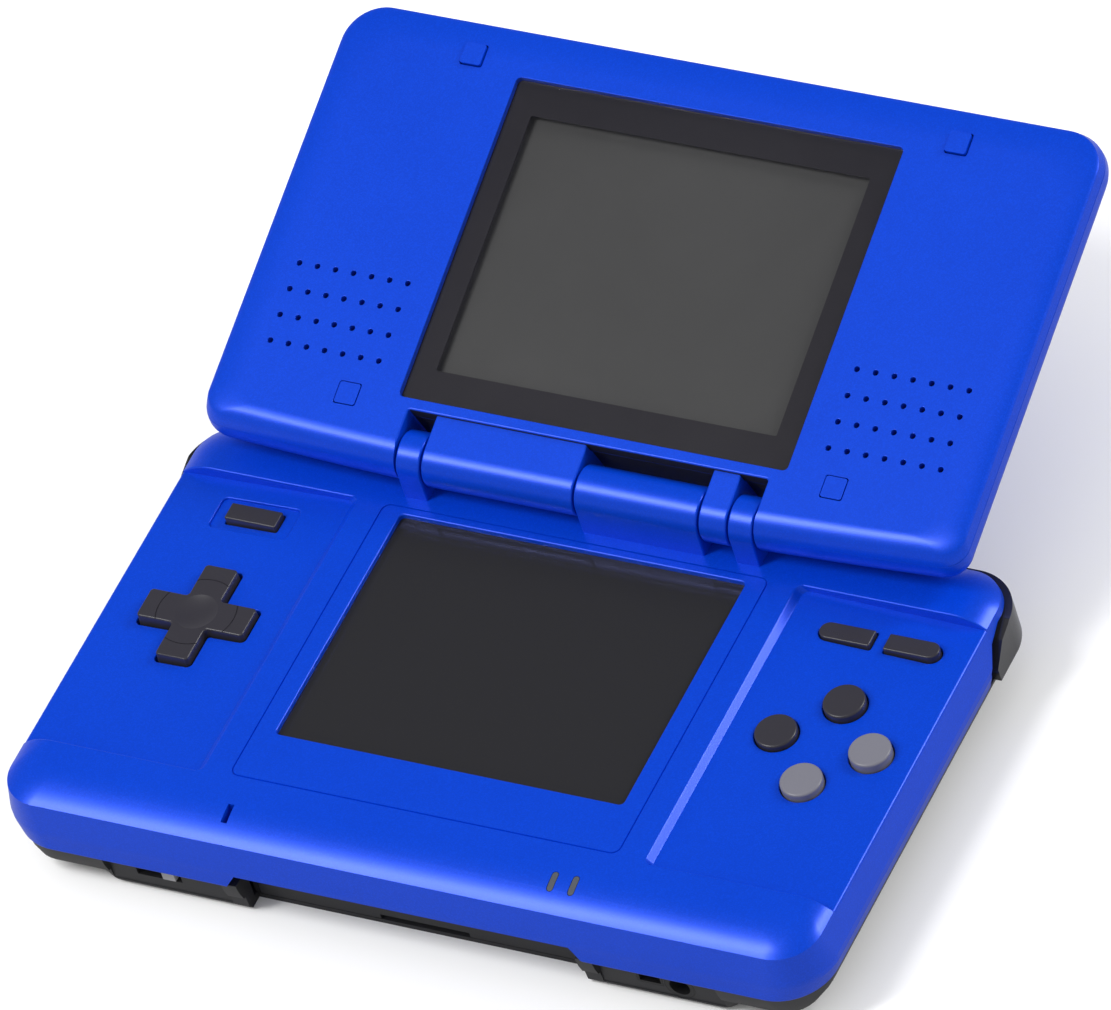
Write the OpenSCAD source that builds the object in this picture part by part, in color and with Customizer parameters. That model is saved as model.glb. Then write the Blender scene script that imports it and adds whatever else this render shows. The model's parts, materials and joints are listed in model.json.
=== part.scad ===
/* [Overall] */
// Width across the two shoulder buttons
body_w = 148.7; // [147.6:0.1:156]
// Depth of the base from its front face to its rear face
base_d = 84.7; // [84:0.1:92]
// Height of the base's flat top above the table
base_h = 19; // [18.9:0.1:22]
// Thickness of the lid
lid_t = 9.4; // [9.2:0.1:11]
// Gap between the shut lid and the top of the base
lid_gap = 0.5; // [0.4:0.05:0.8]
// Angle between shut and fully open
open_angle = 163; // [140:1:166]

/* [Base shell] */
// How far each shoulder button stands out of the shell's side
shoulder_proud = 0.45; // [0.2:0.05:1]
// Height of the parting line between the upper and lower shells
part_z = 7.6; // [7.4:0.1:8]
// Drop of the rolled top edge down to its crease
roll_drop = 2.2; // [1.8:0.1:2.4]
// Width of the rolled edge along the sides
roll_side = 5.8; // [4:0.1:7]
// Width of the rolled edge along the front
roll_front = 7.8; // [5:0.1:9]
// Width of the rolled edge along the rear
roll_rear = 5.2; // [4:0.1:6]
// Lean of the side wall between the crease and the widest line
side_lean = 1.3; // [0.8:0.1:1.6]
// Thickness of the outer walls
wall = 1.5; // [1.2:0.1:1.8]
// Thickness of the deck above the cavity
deck_t = 3.3; // [3.1:0.05:3.4]
// Corner radius of the base seen from above
base_r = 9; // [8:0.5:11]
// Half width of the deep middle part of the underside
keel_x = 57; // [56:0.5:60]
// Height of the shallow side parts of the underside
wing_z = 3.2; // [2.8:0.1:3.6]

/* [Control panels] */
// Distance from the middle to the inner edge of each sunk panel
panel_x = 39.6; // [38:0.1:41]
// Depth of a sunk panel at its inner edge
panel_drop = 1.1; // [0.8:0.1:1.3]
// Length of a sunk panel, front to rear
panel_len = 59; // [56:0.5:60]
// Distance from the side of the shell to the centre of the pad
pad_x = 18.3; // [17:0.1:19.9]
// Distance from the side of the shell to the centre of the round buttons
buttons_x = 16.9; // [16.1:0.1:17.9]
// Position of the pad and of the round buttons, front to rear
control_y = 1.2; // [-1:0.1:3]
// Distance from the group's centre to each round button
button_ring = 8.3; // [7.8:0.1:8.6]
// Diameter of a round button
button_d = 7.6; // [6.8:0.1:8]
// Drop of the round buttons' tops below the base's flat top
button_drop = 0.4; // [0.2:0.1:0.8]
// Travel of a round button
button_travel = 0.7; // [0.4:0.05:0.8]
// Gap round every button in its hole
button_gap = 0.2; // [0.15:0.05:0.3]
// Length of one arm of the pad from its centre
pad_arm = 10.2; // [9:0.1:10.5]
// Width of one arm of the pad at its top
pad_w = 5.8; // [5:0.1:6.4]
// Drop of the pad's top below the base's flat top
pad_drop = 0.2; // [0.2:0.1:0.6]
// Angle by which the pad rocks each way
pad_tilt = 3; // [2:0.5:3]
// Position of the row of small buttons, front to rear
small_y = 22.8; // [22:0.1:23.5]
// Length of a small button
small_len = 9.3; // [8.8:0.1:9.6]
// Width of a small button
small_w = 3.3; // [3:0.1:3.6]
// Drop of the small buttons' tops below the base's flat top
small_drop = 0.8; // [0.6:0.1:1]
// Travel of a small button
small_travel = 0.6; // [0.3:0.05:0.7]

/* [Screens] */
// Width of the opening over the lower screen
window_w = 62.4; // [61.8:0.1:64]
// Height of the opening over the lower screen
window_h = 47.4; // [46.5:0.1:49]
// Position of the lower screen's centre, front to rear
window_y = 4.45; // [3:0.05:4.8]
// Width of the lit area of each screen
lit_w = 61.44; // [60:0.01:61.6]
// Height of the lit area of each screen
lit_h = 46.08; // [45:0.01:46.4]
// Width of a display module
module_w = 69; // [67:0.1:70]
// Height of a display module
module_h = 53; // [52:0.1:54]
// Depth of the touch panel below the base's flat top
touch_drop = 0.95; // [0.8:0.05:1.1]
// Width of the upper screen's dark border
border_w = 70; // [69.5:0.1:72]
// Height of the upper screen's dark border
border_h = 57.6; // [57:0.1:58]
// Depth of the upper screen below the lid's face
screen_drop = 2.4; // [2.35:0.05:2.6]

/* [Lid] */
// Width of the lid
lid_w = 137.6; // [136:0.1:140]
// Distance from the hinge axis to the lid's far edge
lid_reach = 74.4; // [74:0.1:77]
// Depth of the lid's rolled edge down to its crease
lid_roll_drop = 1.1; // [0.8:0.1:1.3]
// Width of the lid's rolled edge
lid_roll = 6; // [4:0.1:7]
// Depth of the parting line below the lid's face
lid_part = 2.6; // [2.4:0.1:2.7]
// Width of the rounding at the edges of the lid's back
back_roll = 10; // [8:0.5:11]
// Thickness of the lid's walls
lid_wall = 1.4; // [1.2:0.1:1.5]
// Corner radius of the lid seen from above
lid_r = 7; // [5:0.5:9]
// Corner radius of the lid at its hinge side
lid_near_r = 6.5; // [5:0.5:7]
// Distance from the hinge axis to the middle of the upper screen
screen_y = 36.8; // [36.6:0.1:37.2]
// Distance from the middle of the lid to each speaker
speaker_x = 50.55; // [50:0.05:52]
// Distance from the hinge axis to each speaker
speaker_y = 20.1; // [19:0.1:22]
// Diameter of a speaker
speaker_d = 17; // [15:0.5:18]
// Spacing of the sound holes across the lid
sound_px = 3.32; // [3:0.02:3.4]
// Spacing of the sound holes along the lid
sound_py = 4.66; // [4:0.02:4.8]
// Diameter of a sound hole
sound_d = 1; // [0.6:0.1:1.4]
// Width of the square bumpers and screw plugs
bumper_w = 3.7; // [3.4:0.1:4]

/* [Hinge] */
// Radius of the hinge barrels
barrel_r = 4.3; // [4:0.05:4.4]
// Distance of the hinge axis in front of the base's rear face
hinge_inset = 6.45; // [6.2:0.05:7.2]
// Half width of the slot in the lid that the hinge row fills
hinge_x = 32.5; // [32:0.1:33]
// Width of the narrow barrels at the two ends of the row
narrow_w = 4.3; // [4:0.1:5]
// Gap between neighbouring hinge barrels
barrel_gap = 0.35; // [0.3:0.05:0.5]
// Radius of the hinge pins
pin_r = 1.9; // [1.7:0.05:1.95]
// Running clearance of every pin in its hole
pin_fit = 0.05; // [0.03:0.01:0.08]

/* [Shoulder buttons] */
// Thickness of a shoulder button's wall
shoulder_t = 3.2; // [3:0.1:3.4]
// Height of a shoulder button
shoulder_h = 7.2; // [6.8:0.1:7.3]
// Place of a shoulder button's front end, behind the middle of the base
shoulder_front = 27.2; // [26:0.1:29]
// Distance from the side of the shell to each shoulder button's pin
shoulder_pin_x = 20.9; // [20:0.1:21.3]
// Angle by which a shoulder button is pressed
shoulder_angle = 3; // [2:0.5:3]

/* [Slots and sockets] */
// Width of the front cartridge slot
cart_w = 59.8; // [59:0.1:60.2]
// Height of the front cartridge slot
cart_h = 9.4; // [9:0.1:9.6]
// Depth of the front cartridge slot behind its mouth
cart_len = 33; // [31:0.5:33.5]
// Setback of the cartridge slot's mouth from the front face
cart_setback = 4.9; // [4:0.1:5.5]
// Width of the rear card slot
card_w = 33.6; // [33.2:0.1:34.4]
// Height of the rear card slot
card_h = 4.4; // [4.2:0.05:4.5]
// Depth of the rear card slot
card_len = 34; // [32:0.5:35]
// Diameter of the stylus
stylus_d = 4.6; // [4:0.1:4.65]
// Length of the stylus
stylus_len = 74.5; // [70:0.5:75]
// Diameter of the headphone socket's hole
jack_d = 3.6; // [3.5:0.05:4]
// Depth of the headphone socket's hole
jack_len = 8; // [6:0.5:9]
// Diameter of the screws' heads
screw_head_d = 3.4; // [3:0.1:3.6]

/* [Hidden] */

$fn = 48;
// Gap between faces that only rest against each other
seat = 0.05;
// Extra length of a cut past the face that it opens
past = 1;

// Base plan
shell_x = body_w / 2 - shoulder_proud;
half_d = base_d / 2;
crease_x = shell_x - side_lean;
crease_front = -half_d + 1.2;
crease_rear = half_d - 1.55;
crease_z = base_h - roll_drop;
roll_turn = 45;
wide_z = part_z + 3.4;
wide_band = 0.6;
cavity_top = base_h - deck_t;
cavity_x = crease_x - wall;
cavity_front = crease_front + wall;
cavity_rear = crease_rear - wall;
cavity_r = base_r - 3;
keel_front = -half_d + 1.7;
keel_rear = half_d - 1.9;
keel_wall = 2.2;
floor_t = 1.4;
front_sink = 0.3;

// Sunk control panels
panel_bevel = 1.1;
panel_y = 0.15;
panel_in_z = base_h - panel_drop;
panel_slope = (crease_z - 0.05 - panel_in_z) / (crease_x - panel_x - panel_bevel);
function panel_z(x) = panel_in_z + panel_slope * (abs(x) - panel_x - panel_bevel);

// Heights inside the base, hung from the top
touch_t = 0.9;
display_t = 1.8;
backlight_t = 1.95;
touch_z = base_h - touch_drop - touch_t;
display_z = touch_z - seat - display_t;
backlight_z = display_z - seat - backlight_t;
board_t = 0.8;
board_z = backlight_z - 0.5 - board_t;
board_top = board_z + board_t;
board_front = -29;
board_rear = half_d - 11.4;
board_x = cavity_x - 2;
board_inset = 3.1;
wireless_size = [16, 18, 2.5];

// Buttons, their flanges and the rubber under them
flange_t = 0.6;
flange_w = 0.9;
flange_z = cavity_top - seat - flange_t;
stem_z = flange_z - 0.35;
rubber_z = board_top + seat;
rubber_t = 0.4;
dome_r = 2;
dome_z = stem_z - max(button_travel, small_travel) - 0.25;
button_bevel = 0.3;
pad_at = [pad_x - shell_x, control_y];
buttons_at = [shell_x - buttons_x, control_y];
button_at = [for (a = [90 : -90 : -180]) buttons_at + button_ring * [cos(a), sin(a)]];
select_left = buttons_at[0] - 10.4;
start_left = buttons_at[0] + 1.4;
power_left = pad_at[0] - 4.9;
select_x = [select_left, select_left + small_len];
start_x = [start_left, start_left + small_len];
power_x = [power_left, power_left + small_len];
power_switch_size = [6, 4];

// Pad
pad_gap = 0.35;
pad_foot_w = pad_w + 0.5;
pad_top = base_h - pad_drop;
pad_flange_t = 0.6;
pad_flange_z = cavity_top - 0.8 - pad_flange_t;
pivot_z = pad_flange_z - 0.1;
pivot_r = 1.6;
pad_dome_r = 7.8;

// Slots at the front and rear
slot_wall = 0.4;
card_top = board_z - seat - slot_wall;
card_z = card_top - card_h;
card_rear = half_d - 0.6;
cart_z = 0.9;
cart_top = cart_z + cart_h;
cart_mouth = -half_d + cart_setback;
cart_rear = cart_mouth + cart_len;
cart_x = cart_w / 2;
cart_wall = 0.9;
cart_clear = 0.15;
connector_len = 5;
cart_end = cart_rear + 0.6 + connector_len;

// Battery bay in the underside
bay_x = [-30, 25.5];
bay_y = [cart_end + cart_wall + 2, half_d - 6.6];
cover_t = 1.3;
cover_lip_t = 0.7;
cover_rim = 2.4;
cover_gap = 0.15;
cover_tab = [2.6, 3.2];
cover_screw_at = [bay_x[1] + cover_rim + 1.9, (bay_y[0] + bay_y[1]) / 2];
battery_z = cover_t + seat;
battery_top = card_z - slot_wall - seat;
contact_w = 2.6;
contact_pitch = 3.5;

// Stylus
stylus_rear = half_d - 0.2;
stylus_front = stylus_rear - stylus_len;
stylus_fit = 0.1;
channel_in_r = stylus_d / 2 + stylus_fit;
channel_r = channel_in_r + 0.4;
stylus_z = board_z - 0.2 - channel_r;

// Shoulder buttons
shoulder_z = part_z + 0.3;
shoulder_top = shoulder_z + shoulder_h;
shoulder_gap = 0.35;
shoulder_pin = [shell_x - shoulder_pin_x, half_d - 4.85];
shoulder_pin_r = 1;
shoulder_pin_z = 4;
hub_r = 2.3;
hub_z = part_z + 2.3;
shoulder_in = shoulder_pin[0] - hub_r;
shoulder_swing = shoulder_pin_x * sin(shoulder_angle);
switch_x = [shoulder_pin[0] + 7, shoulder_pin[0] + 13];
switch_y = [board_rear - 4, half_d - 6];
spring_r = half_d - shoulder_t - shoulder_pin[1] - 0.15;

// Screws
screw_r = 0.95;
screw_grip = 0.02;
screw_free = 0.15;
screw_head_r = screw_head_d / 2;
screw_head_t = 1.1;
screw_len = 9;
boss_r = 2.5;
boss_gap = 0.1;
sink = 0.3;
side_screw = [crease_x - 6.6, 8.85 - half_d, wing_z];
front_screw = [cart_x + 5.1, 9.35 - half_d, 0];
rear_screw = [shoulder_pin[0] - 6, half_d - 5.55, 0];
base_screw_at = [
    for (p = [side_screw, front_screw, rear_screw], side = [1, -1]) [side * p[0], p[1], p[2]]
];
stylus_x = rear_screw[0] - 5.8;

// Sockets in the front and rear faces
power_jack_x = -31;
power_jack_z = board_z - 4;
power_jack_size = [9, 9.6, 5];
front_z = 3.7;
headphone_x = 47.3;
headphone_r = 2.6;
accessory_at = [42.1, 4.5];
accessory_size = [4.5, 6.8, 2.9];
volume_x = [-50.2, -42];
volume_z = [3.4, 6.5];
volume_knob_x = -44.25;
volume_knob_w = 2.3;
mic_x = -31.6;
edge_y = -half_d + 6.15;
lamp_x = [26.7, 30.4];
lamp_size = [1.2, 3.6];

// Lid, in its own frame: y runs out from the hinge axis, z towards the face
face_z = lid_t / 2 + 0.1;
back_z = face_z - lid_t;
seam_z = face_z - lid_part;
wide_lid_z = 0.7;
crease_in = 0.4;
lid_x = lid_w / 2;
hinge_y = half_d - hinge_inset;
hinge_z = base_h + lid_gap + face_z;
lid_tilt = 180 - open_angle;
notch_y = 6;
ear_w = 5;
pin_hole_r = pin_r + pin_fit;
pin_in = 6;

// Hinge row, left to right
row_a = [-hinge_x + barrel_gap, -hinge_x + barrel_gap + narrow_w];
row_b = [row_a[1] + barrel_gap, -barrel_gap / 2];
row_e = [hinge_x - barrel_gap - narrow_w, hinge_x - barrel_gap];
row_d = [row_e[0] - barrel_gap - 4.9, row_e[0] - barrel_gap];
row_c = [barrel_gap / 2, row_d[0] - barrel_gap];

// Layers inside the lid
lens_t = 1;
border_t = 0.3;
lens_z = face_z - lens_t;
border_z = lens_z - seat - border_t;
pocket_z = border_z - seat;
screen_t = 1.3;
screen_top = face_z - screen_drop;
screen_z = screen_top - screen_t;
frame_t = 2.1;
frame_z = screen_z - seat - frame_t;
lid_floor = back_z + lid_wall;
lid_hollow_in = lid_wall + 0.9;
ledge_z = screen_top + 0.07;
lid_screw_at = [[43.9, 68.05], [-43.9, 68.05], [43.9, 6.7], [-43.9, 6.7]];
bumper_t = 1;
bumper_proud = lid_gap - 0.05;
bumper_z = face_z - bumper_t;
lid_head_z = bumper_z - seat - screw_head_t;
lid_screw_len = 5;
lid_boss_z = lid_head_z - 1.6;
speaker_t = 2.6;
mesh_t = 0.2;
mesh_z = pocket_z - seat - mesh_t;
speaker_z = mesh_z - seat - speaker_t;
sound_at = [
    for (i = [-3 : 3], j = [-1.5 : 1.5]) [speaker_x + i * sound_px, speaker_y + j * sound_py]
];

blue = "royalblue";
charcoal = "dimgray";
gray = "gray";
dark = "darkslategray";
green = "seagreen";
steel = "silver";
pale = "lightgray";
black = "black";

// Rectangle between two corners with rounded corners
module round_rect(x0, x1, y0, y1, r) {
    translate([x0 + r, y0]) square([x1 - x0 - 2 * r, y1 - y0]);
    translate([x0, y0 + r]) square([x1 - x0, y1 - y0 - 2 * r]);
    for (x = [x0 + r, x1 - r], y = [y0 + r, y1 - r]) translate([x, y]) circle(r);
}

// Rounded plate between two corners and two heights
module plate(x0, x1, y0, y1, r, z0, z1) {
    translate([0, 0, z0]) linear_extrude(z1 - z0) round_rect(x0, x1, y0, y1, r);
}

// Plain block between two corners
module block(x0, x1, y0, y1, z0, z1) {
    translate([x0, y0, z0]) cube([x1 - x0, y1 - y0, z1 - z0]);
}

// Upright cylinder between two heights
module post(p, r, z0, z1) {
    translate([p[0], p[1], z0]) cylinder(r = r, h = z1 - z0);
}

// Cylinder along x between two places
module bar_x(x0, x1, r) {
    translate([x0, 0, 0]) rotate([0, 90, 0]) cylinder(r = r, h = x1 - x0);
}

// Cylinder along y between two places
module bar_y(x, z, r, y0, y1) {
    translate([x, y0, z]) rotate([-90, 0, 0]) cylinder(r = r, h = y1 - y0);
}

// The piece itself and its mirror image on the other side
module both_sides() {
    children();
    mirror([1, 0, 0]) children();
}

// Level of the base's outer form, filled up to its widest line
module base_level(x, y0, y1, r, z) {
    plate(-x, x, y0, y1, r, min(z, wide_z), max(z, wide_z), $fn = 32);
}

// Outer form of the upper shell: a rolled edge, a crease and leaning walls
module base_form() {
    hull() {
        for (a = [0 : roll_turn / 5 : roll_turn]) {
            in = 1 - sin(a) / sin(roll_turn);
            fall = (1 - cos(a)) / (1 - cos(roll_turn));
            base_level(
                crease_x - roll_side * in, crease_front + roll_front * in,
                crease_rear - roll_rear * in, base_r - 2 - 3 * in, base_h - roll_drop * fall
            );
        }
        base_level(shell_x, -half_d + 0.25, half_d, base_r, wide_z - wide_band);
        base_level(shell_x, -half_d + 0.25, half_d, base_r, wide_z + wide_band);
        base_level(shell_x - 0.9, -half_d, half_d - 0.5, base_r, part_z);
    }
}

// Level of the lower shell's outer form, filled up to the parting line
module under_level(x, y0, y1, r, z) {
    plate(-x, x, y0, y1, r, z, part_z, $fn = 32);
}

// Outer form of the lower shell: shallow wings and a deep middle
module under_form() {
    hull() {
        under_level(shell_x - 1.1, -half_d + 0.4, half_d - 0.9, base_r, part_z - 0.3);
        under_level(shell_x - 2, -half_d + 0.7, half_d - 1.6, base_r - 1.5, part_z - 2.2);
        under_level(shell_x - 3.6, -half_d + 1.2, half_d - 3.4, base_r - 3.5, wing_z + 0.5);
        under_level(shell_x - 5.4, -half_d + 2.8, half_d - 5.2, base_r - 3, wing_z);
    }
    hull() {
        under_level(keel_x + 1.6, keel_front, keel_rear, 3, wing_z);
        under_level(keel_x, keel_front + 0.2, keel_rear - 0.2, 3, 0.9);
        under_level(keel_x - 0.7, keel_front + 0.9, keel_rear - 0.9, 3, 0);
    }
}

// Space cut for one sunk panel, sloping down to the crease
module panel_cut() {
    far = body_w / 2 + 5;
    translate([0, panel_y + panel_len / 2, 0]) rotate([90, 0, 0]) linear_extrude(panel_len)
        polygon([
            [panel_x, base_h], [panel_x + panel_bevel, panel_in_z], [far, panel_z(far)],
            [far, base_h + past], [panel_x, base_h + past]
        ]);
}

// Plan of a cross grown by a gap, with round arm ends
module cross_plan(w, gap) {
    intersection() {
        circle(r = pad_arm + gap);
        union() {
            square([3 * pad_arm, w + 2 * gap], center = true);
            square([w + 2 * gap, 3 * pad_arm], center = true);
        }
    }
}

// Plan of a small button grown by a gap: each end is square or round
module small_plan(x, gap, left_round, right_round) {
    r = small_w / 2 + gap;
    left = x[0] - gap + (left_round ? r : 0);
    right = x[1] + gap - (right_round ? r : 0);
    translate([left, small_y - r]) square([right - left, 2 * r]);
    if (left_round) translate([left, small_y]) circle(r = r);
    if (right_round) translate([right, small_y]) circle(r = r);
}

module select_plan(gap) {
    small_plan(select_x, gap, true, false);
}

module start_plan(gap) {
    small_plan(start_x, gap, false, true);
}

module power_plan(gap) {
    small_plan(power_x, gap, false, false);
}

// Fine line that frames the lower screen
module seam_groove() {
    line = 0.3;
    translate([0, 0, base_h - 0.25]) linear_extrude(past) difference() {
        round_rect(-34.9, 34.9, -28.95, 29.75, 1.6);
        round_rect(-34.9 + line, 34.9 - line, -28.95 + line, 29.75 - line, 1.3);
    }
}

// Upright slot with round ends for a lamp, shrunk by a gap
module lamp_slot(x, gap) {
    r = lamp_size[0] / 2 - gap;
    half = lamp_size[1] / 2 - gap - r;
    for (s = [-1, 1]) post([x, edge_y + s * half], r, cavity_top - past, base_h + past);
    block(x - r, x + r, edge_y - half, edge_y + half, cavity_top - past, base_h + past);
}

// Cut in the front wall over the cartridge slot
module cart_lip() {
    side = cart_x + 0.1;
    flare = 1.9;
    translate([0, cavity_front + past, 0]) rotate([90, 0, 0]) linear_extrude(2 * past + 4)
        polygon([
            [-side - flare, part_z - past], [-side - flare, part_z], [-side, cart_top],
            [side, cart_top], [side + flare, part_z], [side + flare, part_z - past]
        ]);
}

// Opening in the rear walls for the card slot and its housing
module card_mouth() {
    side = card_w / 2 + slot_wall + seat;
    block(
        -side, side, cavity_rear - 8, half_d + past, card_z - slot_wall - seat,
        card_top + slot_wall + seat
    );
}

// Opening in the rear walls for the power jack
module jack_mouth() {
    half = power_jack_size[0] / 2 + 0.1;
    block(
        power_jack_x - half, power_jack_x + half, card_rear - power_jack_size[1] - 0.1,
        half_d + past, power_jack_z - 0.1, power_jack_z + power_jack_size[2] + 0.1
    );
}

// Hole in the rear walls for the stylus channel
module stylus_mouth() {
    bar_y(stylus_x, stylus_z, channel_r + seat, board_front, half_d + past);
}

// Side view of a shoulder button, whose front end slopes down
module shoulder_side(front, low, top) {
    rotate([90, 0, 90]) linear_extrude(body_w / 2 + 5) polygon([
        [front, low], [front, top - 4.6], [front + 3.4, top - 1.2], [front + 7, top],
        [half_d + 5, top], [half_d + 5, low]
    ]);
}

// Space for the right shoulder button, over its whole swing
module shoulder_room() {
    intersection() {
        shoulder_side(
            shoulder_front - shoulder_swing - shoulder_gap, part_z - past,
            shoulder_top + shoulder_gap
        );
        block(shoulder_in - shoulder_gap, body_w / 2 + 5, 0, half_d + 5, part_z - past, base_h);
    }
}

// Hinge barrel on the base, with the foot that carries it
module base_barrel(row) {
    place_hinge() bar_x(row[0], row[1], barrel_r);
    block(
        row[0], row[1], hinge_y - barrel_r, hinge_y + barrel_r - 0.4, cavity_top + past, hinge_z
    );
}

module place_hinge() {
    translate([0, hinge_y, hinge_z]) children();
}

module base_top_shell() {
    color(blue) difference() {
        union() {
            difference() {
                base_form();
                plate(
                    -cavity_x, cavity_x, cavity_front, cavity_rear, cavity_r, part_z - past,
                    cavity_top
                );
                both_sides() shoulder_room();
            }
            for (p = base_screw_at) post(p, boss_r - 0.2, part_z + 0.2, cavity_top + 0.5);
            for (row = [row_a, row_c, row_e]) base_barrel(row);
        }
        for (p = base_screw_at) post(p, screw_r + screw_grip, part_z, p[2] + sink + screw_len + 1);
        place_hinge() {
            bar_x(row_a[0] - past, row_a[1] + past, pin_hole_r);
            bar_x(row_c[1] - pin_in, row_e[1] + past, pin_hole_r);
        }
        plate(
            -window_w / 2, window_w / 2, window_y - window_h / 2, window_y + window_h / 2, 0.8,
            cavity_top - past, base_h + past
        );
        plate(
            -module_w / 2 - 0.3, module_w / 2 + 0.3, window_y - module_h / 2 - 0.3,
            window_y + module_h / 2 + 0.3, 0.6, cavity_top - past, base_h - touch_drop + seat
        );
        seam_groove();
        both_sides() panel_cut();
        for (p = button_at) post(p, button_d / 2 + button_gap, cavity_top - past, base_h);
        translate([0, 0, cavity_top - past]) linear_extrude(deck_t + past) {
            translate(pad_at) cross_plan(pad_foot_w, pad_gap);
            select_plan(button_gap);
            start_plan(button_gap);
            power_plan(button_gap);
        }
        plate(
            power_x[0] - 2.6, power_x[1] + 2.6, small_y - 3.2, small_y + 3.2, 1,
            panel_z(power_x[1]) - 0.45, base_h
        );
        block(mic_x - 0.55, mic_x + 0.55, edge_y - 1.7, edge_y + 1.7, cavity_top - past, base_h);
        for (x = lamp_x) lamp_slot(x, 0);
        cart_lip();
        card_mouth();
        stylus_mouth();
        jack_mouth();
    }
}

// Form of the battery cover, grown by a gap
module cover_form(gap) {
    rim = cover_rim + gap;
    plate(
        bay_x[0] - gap, bay_x[1] + gap, bay_y[0] - gap, bay_y[1] + gap, 0.8, -past, part_z + past
    );
    plate(
        bay_x[0] - rim, bay_x[1] + rim, bay_y[0] - rim, bay_y[1] + rim, 1.2, -past,
        cover_lip_t + gap / 2
    );
    plate(
        bay_x[1], cover_screw_at[0] + cover_tab[0] + gap, cover_screw_at[1] - cover_tab[1] - gap,
        cover_screw_at[1] + cover_tab[1] + gap, 1.6, -past, cover_lip_t + gap / 2
    );
}

module base_lower_shell() {
    accessory_half = [accessory_size[0] / 2 + seat, accessory_size[2] / 2 + seat];
    color(dark) difference() {
        union() {
            difference() {
                under_form();
                plate(
                    -cavity_x + 2.6, cavity_x - 2.6, cavity_front + 3, cavity_rear - 2.6, 4,
                    wing_z + wall, part_z + past
                );
                plate(
                    -keel_x + 2, keel_x - 2, keel_front + keel_wall, keel_rear - keel_wall, 2,
                    floor_t, part_z + past
                );
            }
            for (p = base_screw_at) post(p, boss_r, p[2] + 0.5, part_z - boss_gap);
            both_sides() post(shoulder_pin, hub_r, floor_t - 0.5, part_z - boss_gap);
            plate(
                bay_x[0] - 1.5, bay_x[1] + 1.5, bay_y[0] - 1.5, bay_y[1] + 1.5, 1, 0.8,
                battery_z + 2.4
            );
            post(cover_screw_at, 2.2, 0.8, 6);
        }
        for (p = base_screw_at) {
            post(p, screw_r + screw_free, -past, part_z + past);
            post(p, screw_head_r + 0.2, -past, p[2] + sink + screw_head_t + 0.1);
        }
        both_sides() post(
            shoulder_pin, shoulder_pin_r + screw_grip, shoulder_pin_z - 0.1, part_z + past
        );
        block(
            -cart_x - cart_wall - seat, cart_x + cart_wall + seat, cart_mouth - 0.1,
            cart_end + cart_wall + seat, cart_z, part_z + past
        );
        block(-cart_x - 0.5, cart_x + 0.5, -half_d - past, cart_mouth, -past, part_z + past);
        cover_form(cover_gap);
        post(cover_screw_at, screw_r + screw_grip, -past, 5);
        card_mouth();
        jack_mouth();
        stylus_mouth();
        block(
            volume_x[0], volume_x[1], keel_front - past, keel_front + keel_wall + past,
            volume_z[0], volume_z[1]
        );
        both_sides() block(
            cart_x + 3.4, keel_x - 2, -half_d - past, keel_front + front_sink, 1.3, part_z - 0.5
        );
        bar_y(
            headphone_x, front_z, headphone_r + seat, keel_front - past,
            keel_front + keel_wall + past
        );
        block(
            accessory_at[0] - accessory_half[0], accessory_at[0] + accessory_half[0],
            keel_front - past, keel_front + keel_wall + past,
            accessory_at[1] - accessory_half[1], accessory_at[1] + accessory_half[1]
        );
    }
}

module battery_cover() {
    color(dark) difference() {
        intersection() {
            cover_form(0);
            block(-keel_x, keel_x, -half_d, half_d, 0, cover_t);
        }
        post(cover_screw_at, screw_r + screw_free, -past, cover_t + past);
        for (i = [0 : 4]) block(
            bay_x[0] + 1.5 + i, bay_x[0] + 2 + i, bay_y[0] + 8, bay_y[1] - 8, -past, 0.3
        );
    }
}

module battery_cover_screw() {
    color(steel) post(cover_screw_at, screw_r, 0.3, 4.8);
}

module battery_pack() {
    color(gray) block(
        bay_x[0] + 0.3, bay_x[1] - contact_w - 0.4, bay_y[0] + 0.3, bay_y[1] - 0.3, battery_z,
        battery_top
    );
}

module battery_contacts() {
    x = bay_x[1] - contact_w;
    mid = (bay_y[0] + bay_y[1]) / 2;
    color("gold") {
        block(x + 0.8, bay_x[1] - 0.1, mid - 6, mid + 6, battery_z + 0.2, battery_top - 0.6);
        for (i = [-1 : 1]) block(
            x - 0.2, x + 1, mid + contact_pitch * i - 0.6, mid + contact_pitch * i + 0.6, battery_z + 1,
            battery_top - 1.2
        );
    }
}

module main_circuit_board() {
    color(green) plate(-board_x, board_x, board_front, board_rear, 1, board_z, board_top);
}

module wireless_module() {
    x = board_inset - board_x;
    y = board_front + 1;
    top = board_z - seat;
    color(steel) block(
        x, x + wireless_size[0], y, y + wireless_size[1], top - wireless_size[2], top
    );
}

module touch_panel() {
    color("darkgray") plate(
        -module_w / 2, module_w / 2, window_y - module_h / 2, window_y + module_h / 2, 0.4,
        touch_z, touch_z + touch_t
    );
}

// Display module: a thin glass block with a raised lit area
module display(y, t) {
    rim = 0.2;
    plate(-module_w / 2, module_w / 2, y - module_h / 2, y + module_h / 2, 0.4, 0, t - rim);
    plate(-lit_w / 2, lit_w / 2, y - lit_h / 2, y + lit_h / 2, 0.2, t - 2 * rim, t);
}

module lower_display_panel() {
    color(charcoal) translate([0, 0, display_z]) display(window_y, display_t);
}

// Metal tray with a shallow well on its underside
module display_tray(y, t) {
    difference() {
        plate(-module_w / 2, module_w / 2, y - module_h / 2, y + module_h / 2, 0.4, 0, t);
        plate(-lit_w / 2, lit_w / 2, y - lit_h / 2, y + lit_h / 2, 2, -past, t / 2);
    }
}

module lower_display_frame() {
    color(steel) translate([0, 0, backlight_z]) display_tray(window_y, backlight_t);
}

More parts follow.
